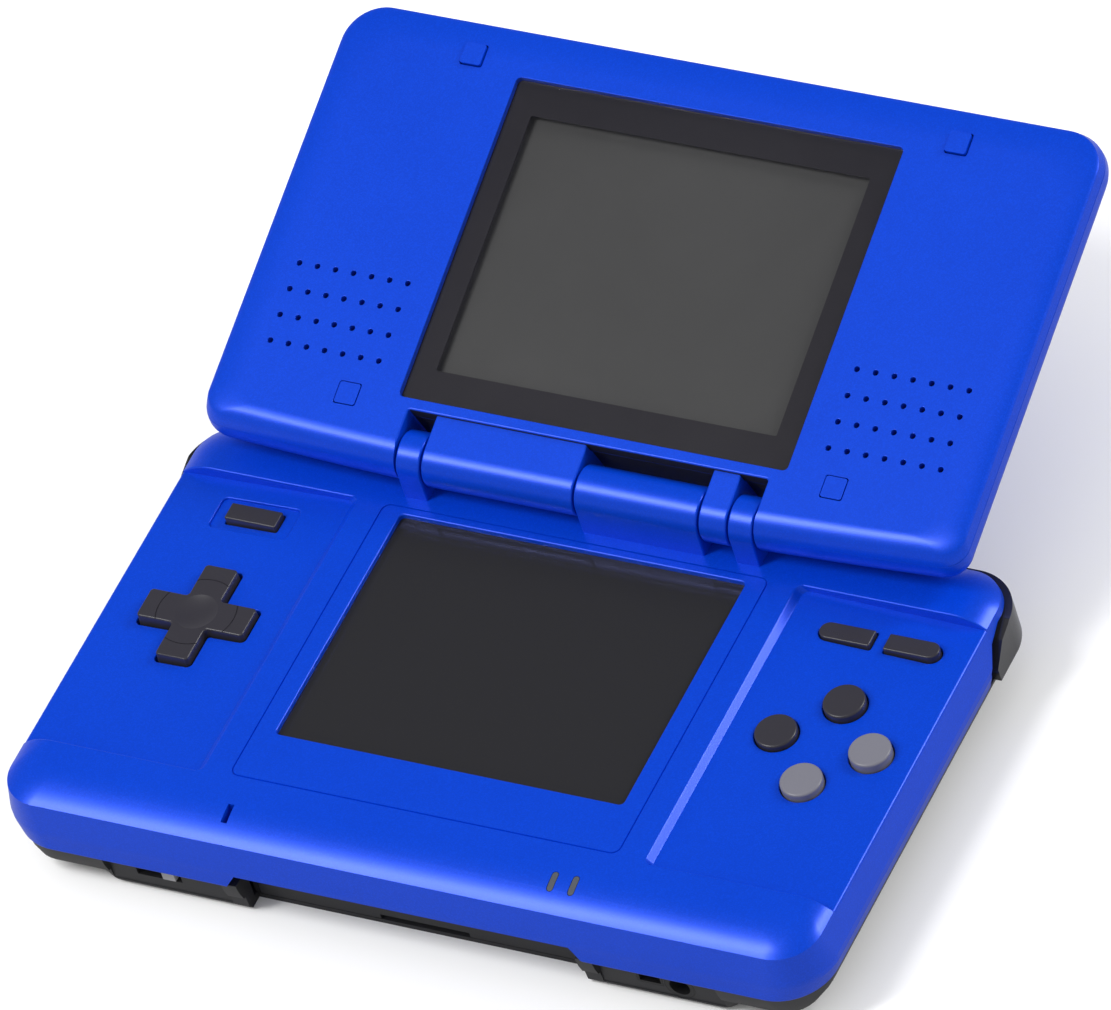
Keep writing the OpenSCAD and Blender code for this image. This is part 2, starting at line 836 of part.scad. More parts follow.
module card_slot_housing() {
    side = card_w / 2;
    color(black) difference() {
        block(
            -side - slot_wall, side + slot_wall, card_rear - card_len - slot_wall, card_rear,
            card_z - slot_wall, card_top + slot_wall
        );
        block(-side, side, card_rear - card_len, half_d + past, card_z, card_top);
    }
}

module cartridge_slot_housing() {
    side = cart_x + cart_wall;
    color(black) difference() {
        block(-side, side, cart_mouth, cart_end + cart_wall, cart_z + seat, cart_top + cart_wall);
        block(-cart_x, cart_x, cart_mouth - past, cart_end, cart_z - past, cart_top);
    }
}

module cartridge_slot_connector() {
    color("ivory") block(
        -cart_x + 1.9, cart_x - 1.9, cart_rear + 0.6, cart_end - seat, cart_z + seat,
        cart_top - seat
    );
}

module cartridge_slot_cover() {
    side = cart_x - cart_clear;
    low = cart_z + cart_clear;
    high = cart_top - cart_clear;
    skin = 1.5;
    color(dark) difference() {
        block(-side, side, cart_mouth, cart_rear, low, high);
        block(
            -side + skin, side - skin, cart_mouth + skin, cart_rear - skin, low + skin, high + past
        );
        block(-8, 8, cart_mouth - past, cart_mouth + 0.8, low - past, low + 1);
    }
}

module power_jack() {
    x = power_jack_x;
    half = power_jack_size[0] / 2;
    mid = power_jack_z + power_jack_size[2] / 2;
    color(dark) difference() {
        block(
            x - half, x + half, card_rear - power_jack_size[1], card_rear, power_jack_z,
            power_jack_z + power_jack_size[2]
        );
        block(x - 3.3, x + 3.3, card_rear - 7, half_d + past, mid - 1.6, mid + 1.6);
    }
}

module headphone_socket() {
    front = keel_front + front_sink;
    inside = keel_front + keel_wall + seat;
    color(black) difference() {
        union() {
            bar_y(headphone_x, front_z, headphone_r, front, inside + seat);
            block(
                headphone_x - 2.7, headphone_x + 2.7, inside, front + jack_len + 1,
                front_z - 2.2, front_z + 2.2
            );
        }
        bar_y(headphone_x, front_z, jack_d / 2, front - past, front + jack_len);
    }
}

module accessory_socket() {
    half = [accessory_size[0] / 2, accessory_size[2] / 2];
    front = keel_front + front_sink;
    rim = 0.4;
    color(black) difference() {
        block(
            accessory_at[0] - half[0], accessory_at[0] + half[0], front,
            front + accessory_size[1], accessory_at[1] - half[1], accessory_at[1] + half[1]
        );
        block(
            accessory_at[0] - half[0] + rim, accessory_at[0] + half[0] - rim, front - past,
            front + accessory_size[1] - 1, accessory_at[1] - half[1] + rim,
            accessory_at[1] + half[1] - rim
        );
    }
}

module microphone_capsule() {
    color(steel) post([mic_x, edge_y], 2, cavity_top - seat - 2, cavity_top - seat);
}

module volume_slider() {
    half = volume_knob_w / 2;
    inside = keel_front + keel_wall + 0.1;
    color(pale) {
        block(
            volume_knob_x - half, volume_knob_x + half, keel_front + 0.1, inside + 0.2,
            volume_z[0] + 0.2, volume_z[1] - 0.2
        );
        block(
            volume_knob_x - 3, volume_knob_x + 3, inside, inside + 0.8, volume_z[0] - 0.4,
            volume_z[1] + 0.4
        );
    }
}

module volume_control() {
    rear = keel_front + keel_wall + 1.1;
    color(steel) block(
        volume_x[0] - 2.6, volume_x[1] + 4, rear, rear + 3.4, floor_t + seat, volume_z[1] + 0.4
    );
}

module lamp_guides() {
    color(pale) intersection() {
        base_form();
        for (x = lamp_x) lamp_slot(x, 0.1);
    }
}

module base_screws() {
    color(steel) for (p = base_screw_at) {
        post(p, screw_head_r, p[2] + sink, p[2] + sink + screw_head_t);
        post(p, screw_r, p[2] + sink, p[2] + sink + screw_len);
    }
}

module hinge_clutch() {
    color(steel) place_hinge() bar_x(row_c[1] - pin_in + 0.2, hinge_x + ear_w - 0.3, pin_r);
}

module hinge_bush() {
    color(steel) place_hinge() difference() {
        bar_x(-hinge_x - ear_w + 0.3, row_b[0] + pin_in - 0.2, pin_r);
        bar_x(-hinge_x - ear_w - past, row_b[0] + pin_in + past, pin_r - 0.5);
    }
}

module hinge_ribbon() {
    color("orange") place_hinge() bar_x(
        -hinge_x - ear_w + 0.3, row_b[0] + pin_in - 0.2, pin_r - 0.8
    );
}

module stylus() {
    tip_len = 4;
    tip_r = 0.7;
    color(dark) {
        bar_y(stylus_x, stylus_z, stylus_d / 2, stylus_front + tip_len, stylus_rear);
        translate([stylus_x, stylus_front + tip_r, stylus_z]) {
            sphere(r = tip_r);
            rotate([-90, 0, 0]) cylinder(r1 = tip_r, r2 = stylus_d / 2, h = tip_len - tip_r);
        }
    }
}

module stylus_channel() {
    color(black) difference() {
        bar_y(stylus_x, stylus_z, channel_r, stylus_front - 0.8, stylus_rear - 0.6);
        bar_y(stylus_x, stylus_z, channel_in_r, stylus_front - 0.2, half_d + past);
    }
}

module right_shoulder_button() {
    side = body_w / 2;
    color(black) difference() {
        union() {
            intersection() {
                linear_extrude(base_h) difference() {
                    round_rect(0, side, 0, half_d, base_r);
                    round_rect(
                        -past, side - shoulder_t, -past, half_d - shoulder_t, base_r - shoulder_t
                    );
                    square([shoulder_in, base_d]);
                }
                shoulder_side(shoulder_front, shoulder_z, shoulder_top);
            }
            post(shoulder_pin, hub_r, hub_z, shoulder_top - 0.2);
            block(
                switch_x[0] + 1.5, switch_x[1] - 1.5, half_d - 5, half_d - shoulder_t + 0.5,
                shoulder_top - 2.6, shoulder_top - 0.4
            );
        }
        post(shoulder_pin, shoulder_pin_r + pin_fit, 0, base_h);
    }
}

module left_shoulder_button() {
    mirror([1, 0, 0]) right_shoulder_button();
}

module shoulder_pivot_pins() {
    color(steel) both_sides()
        post(shoulder_pin, shoulder_pin_r, shoulder_pin_z, cavity_top - 0.4);
}

module shoulder_springs() {
    color(steel) both_sides() difference() {
        post(shoulder_pin, spring_r, part_z + seat, hub_z - 0.15);
        post(shoulder_pin, shoulder_pin_r + 0.2, part_z - past, hub_z + past);
    }
}

module shoulder_switches() {
    color(steel) both_sides() block(
        switch_x[0], switch_x[1], switch_y[0], switch_y[1], board_top + seat, cavity_top - 0.3
    );
}

module dpad() {
    foot = (pad_foot_w - pad_w) / 2;
    groove_r = pad_arm - 2.3;
    dish_r = 12;
    dish_depth = 0.2;
    color(charcoal) translate([pad_at[0], pad_at[1], 0]) difference() {
        union() {
            intersection() {
                for (turn = [0, 90]) rotate([0, 0, turn]) rotate([90, 0, 90])
                    translate([0, 0, -1.5 * pad_arm]) linear_extrude(3 * pad_arm) polygon([
                        [-pad_foot_w / 2, pad_flange_z], [pad_foot_w / 2, pad_flange_z],
                        [pad_w / 2, pad_top], [-pad_w / 2, pad_top]
                    ]);
                translate([0, 0, pad_flange_z])
                    cylinder(r1 = pad_arm, r2 = pad_arm - foot, h = pad_top - pad_flange_z);
            }
            translate([0, 0, pad_flange_z]) linear_extrude(pad_flange_t)
                cross_plan(pad_foot_w, flange_w + 0.3);
        }
        translate([0, 0, pad_top + dish_r - dish_depth]) sphere(r = dish_r, $fn = 96);
        difference() {
            post([0, 0], groove_r + 0.15, pad_top - 0.15, pad_top + past);
            post([0, 0], groove_r - 0.15, pad_top - past, pad_top + 2 * past);
        }
    }
}

module dpad_pivot() {
    color(steel) post(pad_at, pivot_r, board_top + 0.2, pivot_z - 0.05);
}

// Rubber sheet between two corners with a dome at each listed place
module rubber(x0, x1, y0, y1, domes, top) {
    plate(x0, x1, y0, y1, 2, rubber_z, rubber_z + rubber_t);
    for (p = domes) post(p, dome_r, rubber_z, top);
}

module dpad_rubber() {
    c = pad_at;
    reach = pad_arm + 1;
    color(pale) difference() {
        rubber(
            c[0] - reach, c[0] + reach, c[1] - reach, c[1] + reach,
            [for (a = [0 : 90 : 270]) c + pad_dome_r * [cos(a), sin(a)]],
            pad_flange_z - (pad_dome_r + dome_r) * sin(pad_tilt) - 0.05
        );
        post(c, pivot_r + 0.5, board_z, pad_flange_z);
    }
}

// Round button with a flange under the deck
module action_button(p, shade) {
    top = base_h - button_drop;
    color(shade) {
        post(p, button_d / 2, stem_z, top - button_bevel);
        translate([p[0], p[1], top - button_bevel])
            cylinder(r1 = button_d / 2, r2 = button_d / 2 - button_bevel, h = button_bevel);
        post(p, button_d / 2 + flange_w, flange_z, flange_z + flange_t);
    }
}

module action_button_rear() {
    action_button(button_at[0], charcoal);
}

module action_button_right() {
    action_button(button_at[1], gray);
}

module action_button_front() {
    action_button(button_at[2], gray);
}

module action_button_left() {
    action_button(button_at[3], charcoal);
}

module action_buttons_rubber() {
    reach = button_ring + 3.5;
    color(pale) rubber(
        buttons_at[0] - reach, buttons_at[0] + reach, control_y - reach, control_y + reach,
        button_at, dome_z
    );
}

// Heights of a small button's stem
module small_stem() {
    translate([0, 0, stem_z]) linear_extrude(base_h - small_drop - stem_z) children();
}

// Heights of a small button's flange under the deck
module small_flange() {
    translate([0, 0, flange_z]) linear_extrude(flange_t) children();
}

module select_button() {
    color(charcoal) {
        small_stem() select_plan(0);
        small_flange() select_plan(flange_w);
    }
}

module start_button() {
    color(charcoal) {
        small_stem() start_plan(0);
        small_flange() start_plan(flange_w);
    }
}

module power_button() {
    color(charcoal) {
        small_stem() power_plan(0);
        small_flange() power_plan(flange_w);
    }
}

module start_select_rubber() {
    half = small_w / 2 + 1.35;
    color(pale) rubber(
        select_x[0] - 1, start_x[1] + 1, small_y - half, small_y + half,
        [for (x = [select_x, start_x]) [(x[0] + x[1]) / 2, small_y]], dome_z
    );
}

module power_switch() {
    mid = (power_x[0] + power_x[1]) / 2;
    half = power_switch_size / 2;
    color(steel) block(
        mid - half[0], mid + half[0], small_y - half[1], small_y + half[1], board_top + seat, dome_z
    );
}

// Level of the lid's outer form, filled up to its widest line
module lid_level(inset, z) {
    plate(
        -lid_x + inset, lid_x - inset, -3 * lid_r, lid_reach - inset, lid_r,
        min(z, wide_lid_z), max(z, wide_lid_z), $fn = 32
    );
}

// Outer form of the lid between two heights, with its round hinge edge
module lid_form(z0, z1) {
    difference() {
        intersection() {
            hull() {
                for (a = [0 : 22.5 : 90]) {
                    lid_level(
                        crease_in + lid_roll * (1 - sin(a)), face_z - lid_roll_drop * (1 - cos(a))
                    );
                }
                lid_level(0, seam_z);
                for (a = [22.5 : 22.5 : 90]) {
                    lid_level(back_roll * (1 - cos(a)), wide_lid_z - (wide_lid_z - back_z) * sin(a));
                }
            }
            union() {
                translate([0, 0, (face_z + back_z) / 2]) bar_x(-lid_x, lid_x, lid_t / 2);
                block(-lid_x, lid_x, 0, lid_reach, back_z, face_z);
            }
            plate(-lid_x, lid_x, -lid_t / 2, lid_reach, lid_near_r, z0, z1, $fn = 32);
        }
        block(-hinge_x, hinge_x, -lid_t, notch_y, back_z - past, face_z + past);
    }
}

// Solid rim round the hinge slot that the lid's hollows stay out of
module notch_rim() {
    side = hinge_x + lid_wall;
    block(-side, side, -lid_t, notch_y + lid_wall, back_z - past, face_z + past);
}

module place_lid() {
    place_hinge() rotate([lid_tilt, 0, 0]) children();
}

// Hollow of the lid between two heights
module lid_hollow(inset, y0, r, z0, z1) {
    plate(-lid_x + inset, lid_x - inset, y0, lid_reach - inset, r, z0, z1);
}

module lid_inner_bezel() {
    ledge_x = module_w / 2 + 1.6;
    ledge_y = module_h / 2 + 3.2;
    half_seat = bumper_w / 2 + 0.15;
    color(blue) place_lid() difference() {
        union() {
            difference() {
                lid_form(seam_z, face_z + past);
                difference() {
                    lid_hollow(lid_hollow_in, -2.6, lid_r - 2, seam_z - past, pocket_z);
                    notch_rim();
                    block(
                        -ledge_x, ledge_x, screen_y - ledge_y, screen_y + ledge_y, ledge_z,
                        pocket_z + past
                    );
                }
            }
            for (p = lid_screw_at) post(p, boss_r + 0.2, lid_boss_z, pocket_z + 0.3);
        }
        plate(
            -border_w / 2 - seat, border_w / 2 + seat, screen_y - border_h / 2 - seat,
            screen_y + border_h / 2 + seat, 0.9, pocket_z, face_z + past
        );
        plate(
            -lit_w / 2 - 1.3, lit_w / 2 + 1.3, screen_y - lit_h / 2 - 1.4,
            screen_y + lit_h / 2 + 1.4, 0.5, seam_z - past, face_z
        );
        both_sides() for (p = sound_at) post(p, sound_d / 2, seam_z, face_z + past);
        for (p = lid_screw_at) {
            plate(
                p[0] - half_seat, p[0] + half_seat, p[1] - half_seat, p[1] + half_seat, 0.4,
                bumper_z, face_z + past
            );
            post(p, screw_head_r + 0.15, lid_head_z, face_z);
            post(p, screw_r + screw_free, lid_boss_z - past, face_z);
        }
    }
}

// Hinge barrel on the lid, with the web that joins it to the shell
module lid_barrel(row) {
    bar_x(row[0], row[1], barrel_r);
    block(row[0], row[1], 0, notch_y - seat, -barrel_r, barrel_r);
    block(row[0], row[1], 0, notch_y + lid_wall, -barrel_r, seam_z - seat);
}

module lid_outer_shell() {
    step_z = -1.5;
    color(blue) place_lid() difference() {
        union() {
            difference() {
                lid_form(back_z - past, seam_z - seat);
                difference() {
                    union() {
                        lid_hollow(lid_hollow_in, -2.6, lid_r - 2, step_z, seam_z + past);
                        lid_hollow(lid_hollow_in + 2.5, -2, 4, lid_floor, step_z + past);
                    }
                    notch_rim();
                    block(-hinge_x - ear_w, hinge_x + ear_w, -lid_t, 4.5, back_z, seam_z);
                }
            }
            both_sides() bar_x(hinge_x + lid_wall + 0.2, hinge_x + ear_w, 3.3);
            for (row = [row_b, row_d]) lid_barrel(row);
            for (p = lid_screw_at) post(p, boss_r, lid_floor - 0.5, lid_boss_z - boss_gap);
            both_sides() block(18, 19.4, screen_y, 62, lid_floor - 0.5, frame_z - seat);
        }
        bar_x(-hinge_x - ear_w - past, row_b[0] + pin_in, pin_hole_r);
        bar_x(row_d[0] - past, hinge_x + ear_w + past, pin_hole_r);
        for (p = lid_screw_at) post(
            p, screw_r + screw_grip, lid_head_z + screw_head_t - lid_screw_len - 0.2, face_z
        );
    }
}

module upper_lens() {
    color("darkgray") place_lid() plate(
        -border_w / 2, border_w / 2, screen_y - border_h / 2, screen_y + border_h / 2, 0.9,
        lens_z, face_z
    );
}

module upper_lens_border() {
    color(black) place_lid() difference() {
        plate(
            -border_w / 2, border_w / 2, screen_y - border_h / 2, screen_y + border_h / 2, 0.9,
            border_z, border_z + border_t
        );
        plate(
            -lit_w / 2, lit_w / 2, screen_y - lit_h / 2, screen_y + lit_h / 2, 0.3,
            border_z - past, lens_z
        );
    }
}

module upper_display_panel() {
    color(charcoal) place_lid() translate([0, 0, screen_z]) display(screen_y, screen_t);
}

module upper_display_frame() {
    color(steel) place_lid() translate([0, 0, frame_z]) display_tray(screen_y, frame_t);
}

// Round speaker: a basket with a wider rim
module speaker(side) {
    c = [side * speaker_x, speaker_y];
    color(dark) place_lid() {
        post(c, speaker_d / 2, speaker_z + speaker_t - 1, speaker_z + speaker_t);
        post(c, speaker_d / 2 - 2, speaker_z, speaker_z + speaker_t);
    }
}

module left_speaker() {
    speaker(-1);
}

module right_speaker() {
    speaker(1);
}

module speaker_mesh() {
    half_w = 3 * sound_px + 1.5;
    half_h = 1.5 * sound_py + 1.5;
    color(black) place_lid() both_sides() plate(
        speaker_x - half_w, speaker_x + half_w, speaker_y - half_h, speaker_y + half_h, 1,
        mesh_z, mesh_z + mesh_t
    );
}

module lid_screws() {
    top = lid_head_z + screw_head_t;
    color(steel) place_lid() for (p = lid_screw_at) {
        post(p, screw_head_r, lid_head_z, top);
        post(p, screw_r, top - lid_screw_len, top);
    }
}

// Square block in its seat in the lid's face
module face_block(p, top) {
    half = bumper_w / 2;
    plate(p[0] - half, p[0] + half, p[1] - half, p[1] + half, 0.4, bumper_z, top);
}

module lid_bumpers() {
    color(blue) place_lid() for (i = [0, 1]) face_block(lid_screw_at[i], face_z + bumper_proud);
}

module lid_screw_plugs() {
    color(blue) place_lid() for (i = [2, 3]) face_block(lid_screw_at[i], face_z);
}

module lid_circuit_board() {
    half_w = lit_w / 2 - 0.7;
    y = [notch_y + 3, notch_y + 27];
    z = lid_floor + 0.3;
    color(green) place_lid() plate(-half_w, half_w, y[0], y[1], 1, z, z + board_t);
}

base_top_shell();
base_lower_shell();
battery_cover();
battery_cover_screw();
battery_pack();
battery_contacts();
main_circuit_board();
wireless_module();
touch_panel();
lower_display_panel();
lower_display_frame();
card_slot_housing();
cartridge_slot_housing();
cartridge_slot_connector();
cartridge_slot_cover();
power_jack();
headphone_socket();
accessory_socket();
microphone_capsule();
volume_slider();
volume_control();
lamp_guides();
base_screws();
hinge_clutch();
hinge_bush();
hinge_ribbon();
stylus();
stylus_channel();
left_shoulder_button();
right_shoulder_button();
shoulder_pivot_pins();
shoulder_springs();
shoulder_switches();
dpad();
dpad_pivot();
dpad_rubber();
action_button_rear();
action_button_right();
action_button_front();
action_button_left();
action_buttons_rubber();
select_button();
start_button();
start_select_rubber();
power_button();
power_switch();
lid_inner_bezel();
lid_outer_shell();
upper_lens();
upper_lens_border();
upper_display_panel();
upper_display_frame();
left_speaker();
right_speaker();
speaker_mesh();
lid_screws();
lid_bumpers();
lid_screw_plugs();
lid_circuit_board();
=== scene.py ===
"""Looks of an open clamshell handheld game console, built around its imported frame."""

import json
import logging
import math
from dataclasses import dataclass, field
from enum import Enum

import bmesh
import bpy
import numpy as np
from mathutils import Matrix, Vector

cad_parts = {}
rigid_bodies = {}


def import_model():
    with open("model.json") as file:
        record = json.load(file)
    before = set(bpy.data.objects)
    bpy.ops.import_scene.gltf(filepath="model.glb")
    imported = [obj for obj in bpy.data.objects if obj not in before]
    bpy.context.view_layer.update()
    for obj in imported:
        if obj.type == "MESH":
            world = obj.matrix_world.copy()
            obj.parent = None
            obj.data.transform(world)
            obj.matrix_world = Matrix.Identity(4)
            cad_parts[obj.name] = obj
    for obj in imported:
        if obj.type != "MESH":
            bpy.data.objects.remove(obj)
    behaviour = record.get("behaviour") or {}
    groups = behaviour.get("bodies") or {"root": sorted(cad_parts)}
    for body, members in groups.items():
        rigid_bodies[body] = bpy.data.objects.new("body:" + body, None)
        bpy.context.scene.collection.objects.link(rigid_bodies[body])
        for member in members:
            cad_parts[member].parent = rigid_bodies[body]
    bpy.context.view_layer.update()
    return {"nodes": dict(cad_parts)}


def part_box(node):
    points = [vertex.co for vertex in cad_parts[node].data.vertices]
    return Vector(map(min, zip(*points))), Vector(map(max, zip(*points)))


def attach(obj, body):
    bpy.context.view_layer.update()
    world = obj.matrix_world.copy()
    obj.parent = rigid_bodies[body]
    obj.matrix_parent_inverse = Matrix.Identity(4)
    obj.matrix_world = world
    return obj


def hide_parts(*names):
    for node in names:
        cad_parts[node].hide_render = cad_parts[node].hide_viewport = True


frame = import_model()

LOG = logging.getLogger("handheld_console")
MM = 0.001
HANDLING_SCALE = 35.0
FINE_MARKS = 9.0
BROAD_SHARE = 0.7
BRUSH_STRETCH = 0.04
EDGE_ANGLE = math.radians(25)
WELD_MM = 0.002
Colour = tuple[float, float, float]
Pair = tuple[float, float]
Socket = bpy.types.NodeSocket
Mesh = bpy.types.Mesh


class Graph:
    """A node tree that short calls fill."""

    def __init__(self, tree: bpy.types.NodeTree) -> None:
        """Keep the tree."""
        self.tree = tree

    def add(self, kind: str, inputs: dict | None = None, **settings: object) -> bpy.types.Node:
        """Add a node.

        Args:
            kind: Blender's name of the node type.
            inputs: Values or source sockets by the name or index of the input.
            settings: Attributes of the node itself.

        Returns:
            The new node.
        """
        node = self.tree.nodes.new(kind)
        for name, value in settings.items():
            setattr(node, name, value)
        for name, value in (inputs or {}).items():
            if isinstance(value, Socket):
                self.tree.links.new(value, node.inputs[name])
            else:
                node.inputs[name].default_value = value
        return node

    def math(self, operation: str, a: object, b: object) -> Socket:
        """Put out the result of one sum on two sockets or numbers."""
        return self.add("ShaderNodeMath", {0: a, 1: b}, operation=operation).outputs[0]

    def mix(self, factor: Socket, a: Colour, b: Colour) -> Socket:
        """Put out a colour between two colours."""
        inputs = {0: factor, 6: (*a, 1), 7: (*b, 1)}
        return self.add("ShaderNodeMix", inputs, data_type="RGBA").outputs[2]

    def noise(self, place: Socket, scale: Socket, detail: float, distortion: float = 0.0) -> Socket:
        """Put out a noise of 0 to 1."""
        inputs = {"Vector": place, "Scale": scale, "Detail": detail, "Distortion": distortion}
        return self.add("ShaderNodeTexNoise", inputs).outputs[0]

    def spread(self, value: object, low: float, high: float) -> Socket:
        """Put out a mask of 0 to 1, carried over to the range from low to high."""
        return self.add("ShaderNodeMapRange", {0: value, 3: low, 4: high}).outputs[0]


def fresh_graph(owner: bpy.types.Material | bpy.types.World) -> Graph:
    """Switch on the nodes of a material or world and empty its tree."""
    owner.use_nodes = True
    owner.node_tree.nodes.clear()
    return Graph(owner.node_tree)


class Effect(Enum):
    """Surface effects that several finishes share."""

    FLAKE = "metal flake"
    GRAIN = "moulded grain"
    HANDLING = "handling marks"
    BRUSHED = "brushed lines"


def effect_group(effect: Effect) -> bpy.types.NodeTree:
    """Build an effect's node group once and return it from then on.

    Each group has the inputs Scale and Depth, and puts out Mask, which runs from 0 to 1, and
    Height, which is the mask times the depth.

    Args:
        effect: Which effect.

    Returns:
        The node group.
    """
    if effect.value in bpy.data.node_groups:
        return bpy.data.node_groups[effect.value]
    tree = bpy.data.node_groups.new(effect.value, "ShaderNodeTree")
    for name in ("Scale", "Depth"):
        tree.interface.new_socket(name=name, in_out="INPUT", socket_type="NodeSocketFloat")
    for name in ("Mask", "Height"):
        tree.interface.new_socket(name=name, in_out="OUTPUT", socket_type="NodeSocketFloat")
    g = Graph(tree)
    given = g.add("NodeGroupInput").outputs
    place = g.add("ShaderNodeTexCoord").outputs["Object"]
    scale = given["Scale"]
    if effect is Effect.FLAKE:
        cells = g.add("ShaderNodeTexVoronoi", {"Vector": place, "Scale": scale})
        tone = g.add("ShaderNodeSeparateColor", {0: cells.outputs["Color"]}).outputs[0]
        mask = g.math("POWER", tone, 2.0)
    elif effect is Effect.GRAIN:
        mask = g.spread(g.noise(place, scale, 3.0), 0.0, 1.0)
    elif effect is Effect.HANDLING:
        broad = g.noise(place, scale, 4.0, 0.6)
        fine = g.noise(place, g.math("MULTIPLY", scale, FINE_MARKS), 2.0)
        mask = g.math("ADD", g.math("MULTIPLY", broad, BROAD_SHARE),
                      g.math("MULTIPLY", fine, 1 - BROAD_SHARE))
    else:
        lines = g.add("ShaderNodeMapping", {"Vector": place, "Scale": (BRUSH_STRETCH, 1, 1)})
        mask = g.noise(lines.outputs[0], scale, 4.0)
    g.add("NodeGroupOutput", {"Mask": mask, "Height": g.math("MULTIPLY", mask, given["Depth"])})
    return tree


@dataclass(frozen=True)
class Finish:
    """A finish: a shader's plain values, and the effects that vary them over the surface."""

    name: str
    colour: Colour
    deep: Colour
    roughness: float
    rough_spread: float = 0.06
    metallic: float = 0.0
    specular: float = 0.5
    coat: float = 0.0
    coat_roughness: float = 0.1
    alpha: float = 1.0
    effect: Effect = Effect.GRAIN
    scale: float = 4000.0
    depth: float = 0.01
    tone: float = 0.5

    def material(self) -> bpy.types.Material:
        """Build the material once and return it from then on."""
        if self.name in bpy.data.materials:
            return bpy.data.materials[self.name]
        made = bpy.data.materials.new(self.name)
        g = fresh_graph(made)
        fine = g.add(
            "ShaderNodeGroup", {"Scale": self.scale, "Depth": self.depth},
            node_tree=effect_group(self.effect),
        )
        marks = g.add(
            "ShaderNodeGroup", {"Scale": HANDLING_SCALE, "Depth": 0.0},
            node_tree=effect_group(Effect.HANDLING),
        )
        blend = g.math(
            "ADD",
            g.math("MULTIPLY", fine.outputs["Mask"], self.tone),
            g.math("MULTIPLY", marks.outputs["Mask"], 1.0 - self.tone),
        )
        values = {
            "Base Color": g.mix(blend, self.deep, self.colour),
            "Roughness": g.spread(
                marks.outputs["Mask"],
                self.roughness - self.rough_spread, self.roughness + self.rough_spread,
            ),
            "Metallic": self.metallic,
            "Specular IOR Level": self.specular,
            "Coat Weight": self.coat,
            "Coat Roughness": self.coat_roughness,
            "Alpha": self.alpha,
        }
        if self.depth:
            values["Normal"] = g.add(
                "ShaderNodeBump",
                {"Height": fine.outputs["Height"], "Strength": 1.0, "Distance": MM},
            ).outputs[0]
        shader = g.add("ShaderNodeBsdfPrincipled", values)
        g.add("ShaderNodeOutputMaterial", {"Surface": shader.outputs[0]})
        return made


BLUE = Finish(
    "satin_blue_lacquer", (0.0, 0.062, 0.69), (0.0, 0.045, 0.54), 0.35, 0.03,
    metallic=0.25, specular=0.2, coat=0.2, coat_roughness=0.24, effect=Effect.FLAKE,
    scale=5500.0, depth=0.004, tone=0.6,
)
DARK_SHELL = Finish(
    "dark_shell_plastic", (0.030, 0.030, 0.034), (0.015, 0.015, 0.018), 0.48, scale=6000.0,
)
DARK_KEY = Finish(
    "charcoal_key", (0.034, 0.032, 0.042), (0.022, 0.021, 0.028), 0.36, scale=7000.0,
    depth=0.004,
)
GREY_KEY = Finish(
    "grey_key", (0.18, 0.18, 0.215), (0.13, 0.13, 0.16), 0.38, scale=7000.0,
    depth=0.004,
)
GLOSS_BLACK = Finish(
    "gloss_black", (0.022, 0.022, 0.026), (0.012, 0.012, 0.015), 0.22, coat=0.5,
    coat_roughness=0.06, depth=0.003,
)
BORDER = Finish(
    "window_border_print", (0.012, 0.010, 0.018), (0.008, 0.007, 0.012), 0.38, depth=0.0,
)
CLEAR = Finish(
    "clear_window", (0.03, 0.03, 0.035), (0.02, 0.02, 0.025), 0.10, 0.04, alpha=0.10,
    depth=0.0,
)
TOUCH = Finish(
    "touch_film", (0.020, 0.020, 0.026), (0.014, 0.014, 0.018), 0.24, 0.05, alpha=0.35,
    depth=0.0,
)
UPPER_LCD = Finish(
    "upper_display_glass", (0.066, 0.066, 0.066), (0.050, 0.050, 0.050), 0.36, depth=0.0,
    tone=0.2,
)
LOWER_LCD = Finish(
    "lower_display_glass", (0.022, 0.022, 0.027), (0.017, 0.017, 0.021), 0.30, depth=0.0,
    tone=0.2,
)
METAL = Finish(
    "plated_steel", (0.62, 0.62, 0.64), (0.42, 0.42, 0.45), 0.30, metallic=1.0,
    effect=Effect.BRUSHED, scale=3000.0, depth=0.004,
)
GOLD = Finish(
    "gold_plate", (0.85, 0.62, 0.25), (0.6, 0.4, 0.14), 0.28, metallic=1.0,
    effect=Effect.BRUSHED, scale=3000.0, depth=0.004,
)
BLACK = Finish(
    "moulded_black", (0.018, 0.018, 0.020), (0.009, 0.009, 0.011), 0.5, scale=5000.0,
)
IVORY = Finish("connector_ivory", (0.6, 0.56, 0.45), (0.45, 0.41, 0.32), 0.45)
CONTROL_GREY = Finish("control_grey", (0.30, 0.30, 0.32), (0.2, 0.2, 0.22), 0.4)
LAMP = Finish(
    "lamp_guide", (0.10, 0.11, 0.13), (0.05, 0.055, 0.07), 0.2, coat=0.4, depth=0.002,
)
BOARD = Finish("solder_mask", (0.02, 0.2, 0.06), (0.01, 0.12, 0.03), 0.35, scale=1500.0)
SLEEVE = Finish("battery_sleeve", (0.32, 0.32, 0.34), (0.22, 0.22, 0.24), 0.38)
RUBBER = Finish("keypad_rubber", (0.5, 0.5, 0.51), (0.38, 0.38, 0.4), 0.62, depth=0.02)
FILM = Finish("ribbon_film", (0.75, 0.33, 0.05), (0.5, 0.2, 0.03), 0.35)
MESH = Finish("speaker_mesh", (0.012, 0.012, 0.014), (0.004, 0.004, 0.005), 0.7, scale=9000.0,
              depth=0.05)

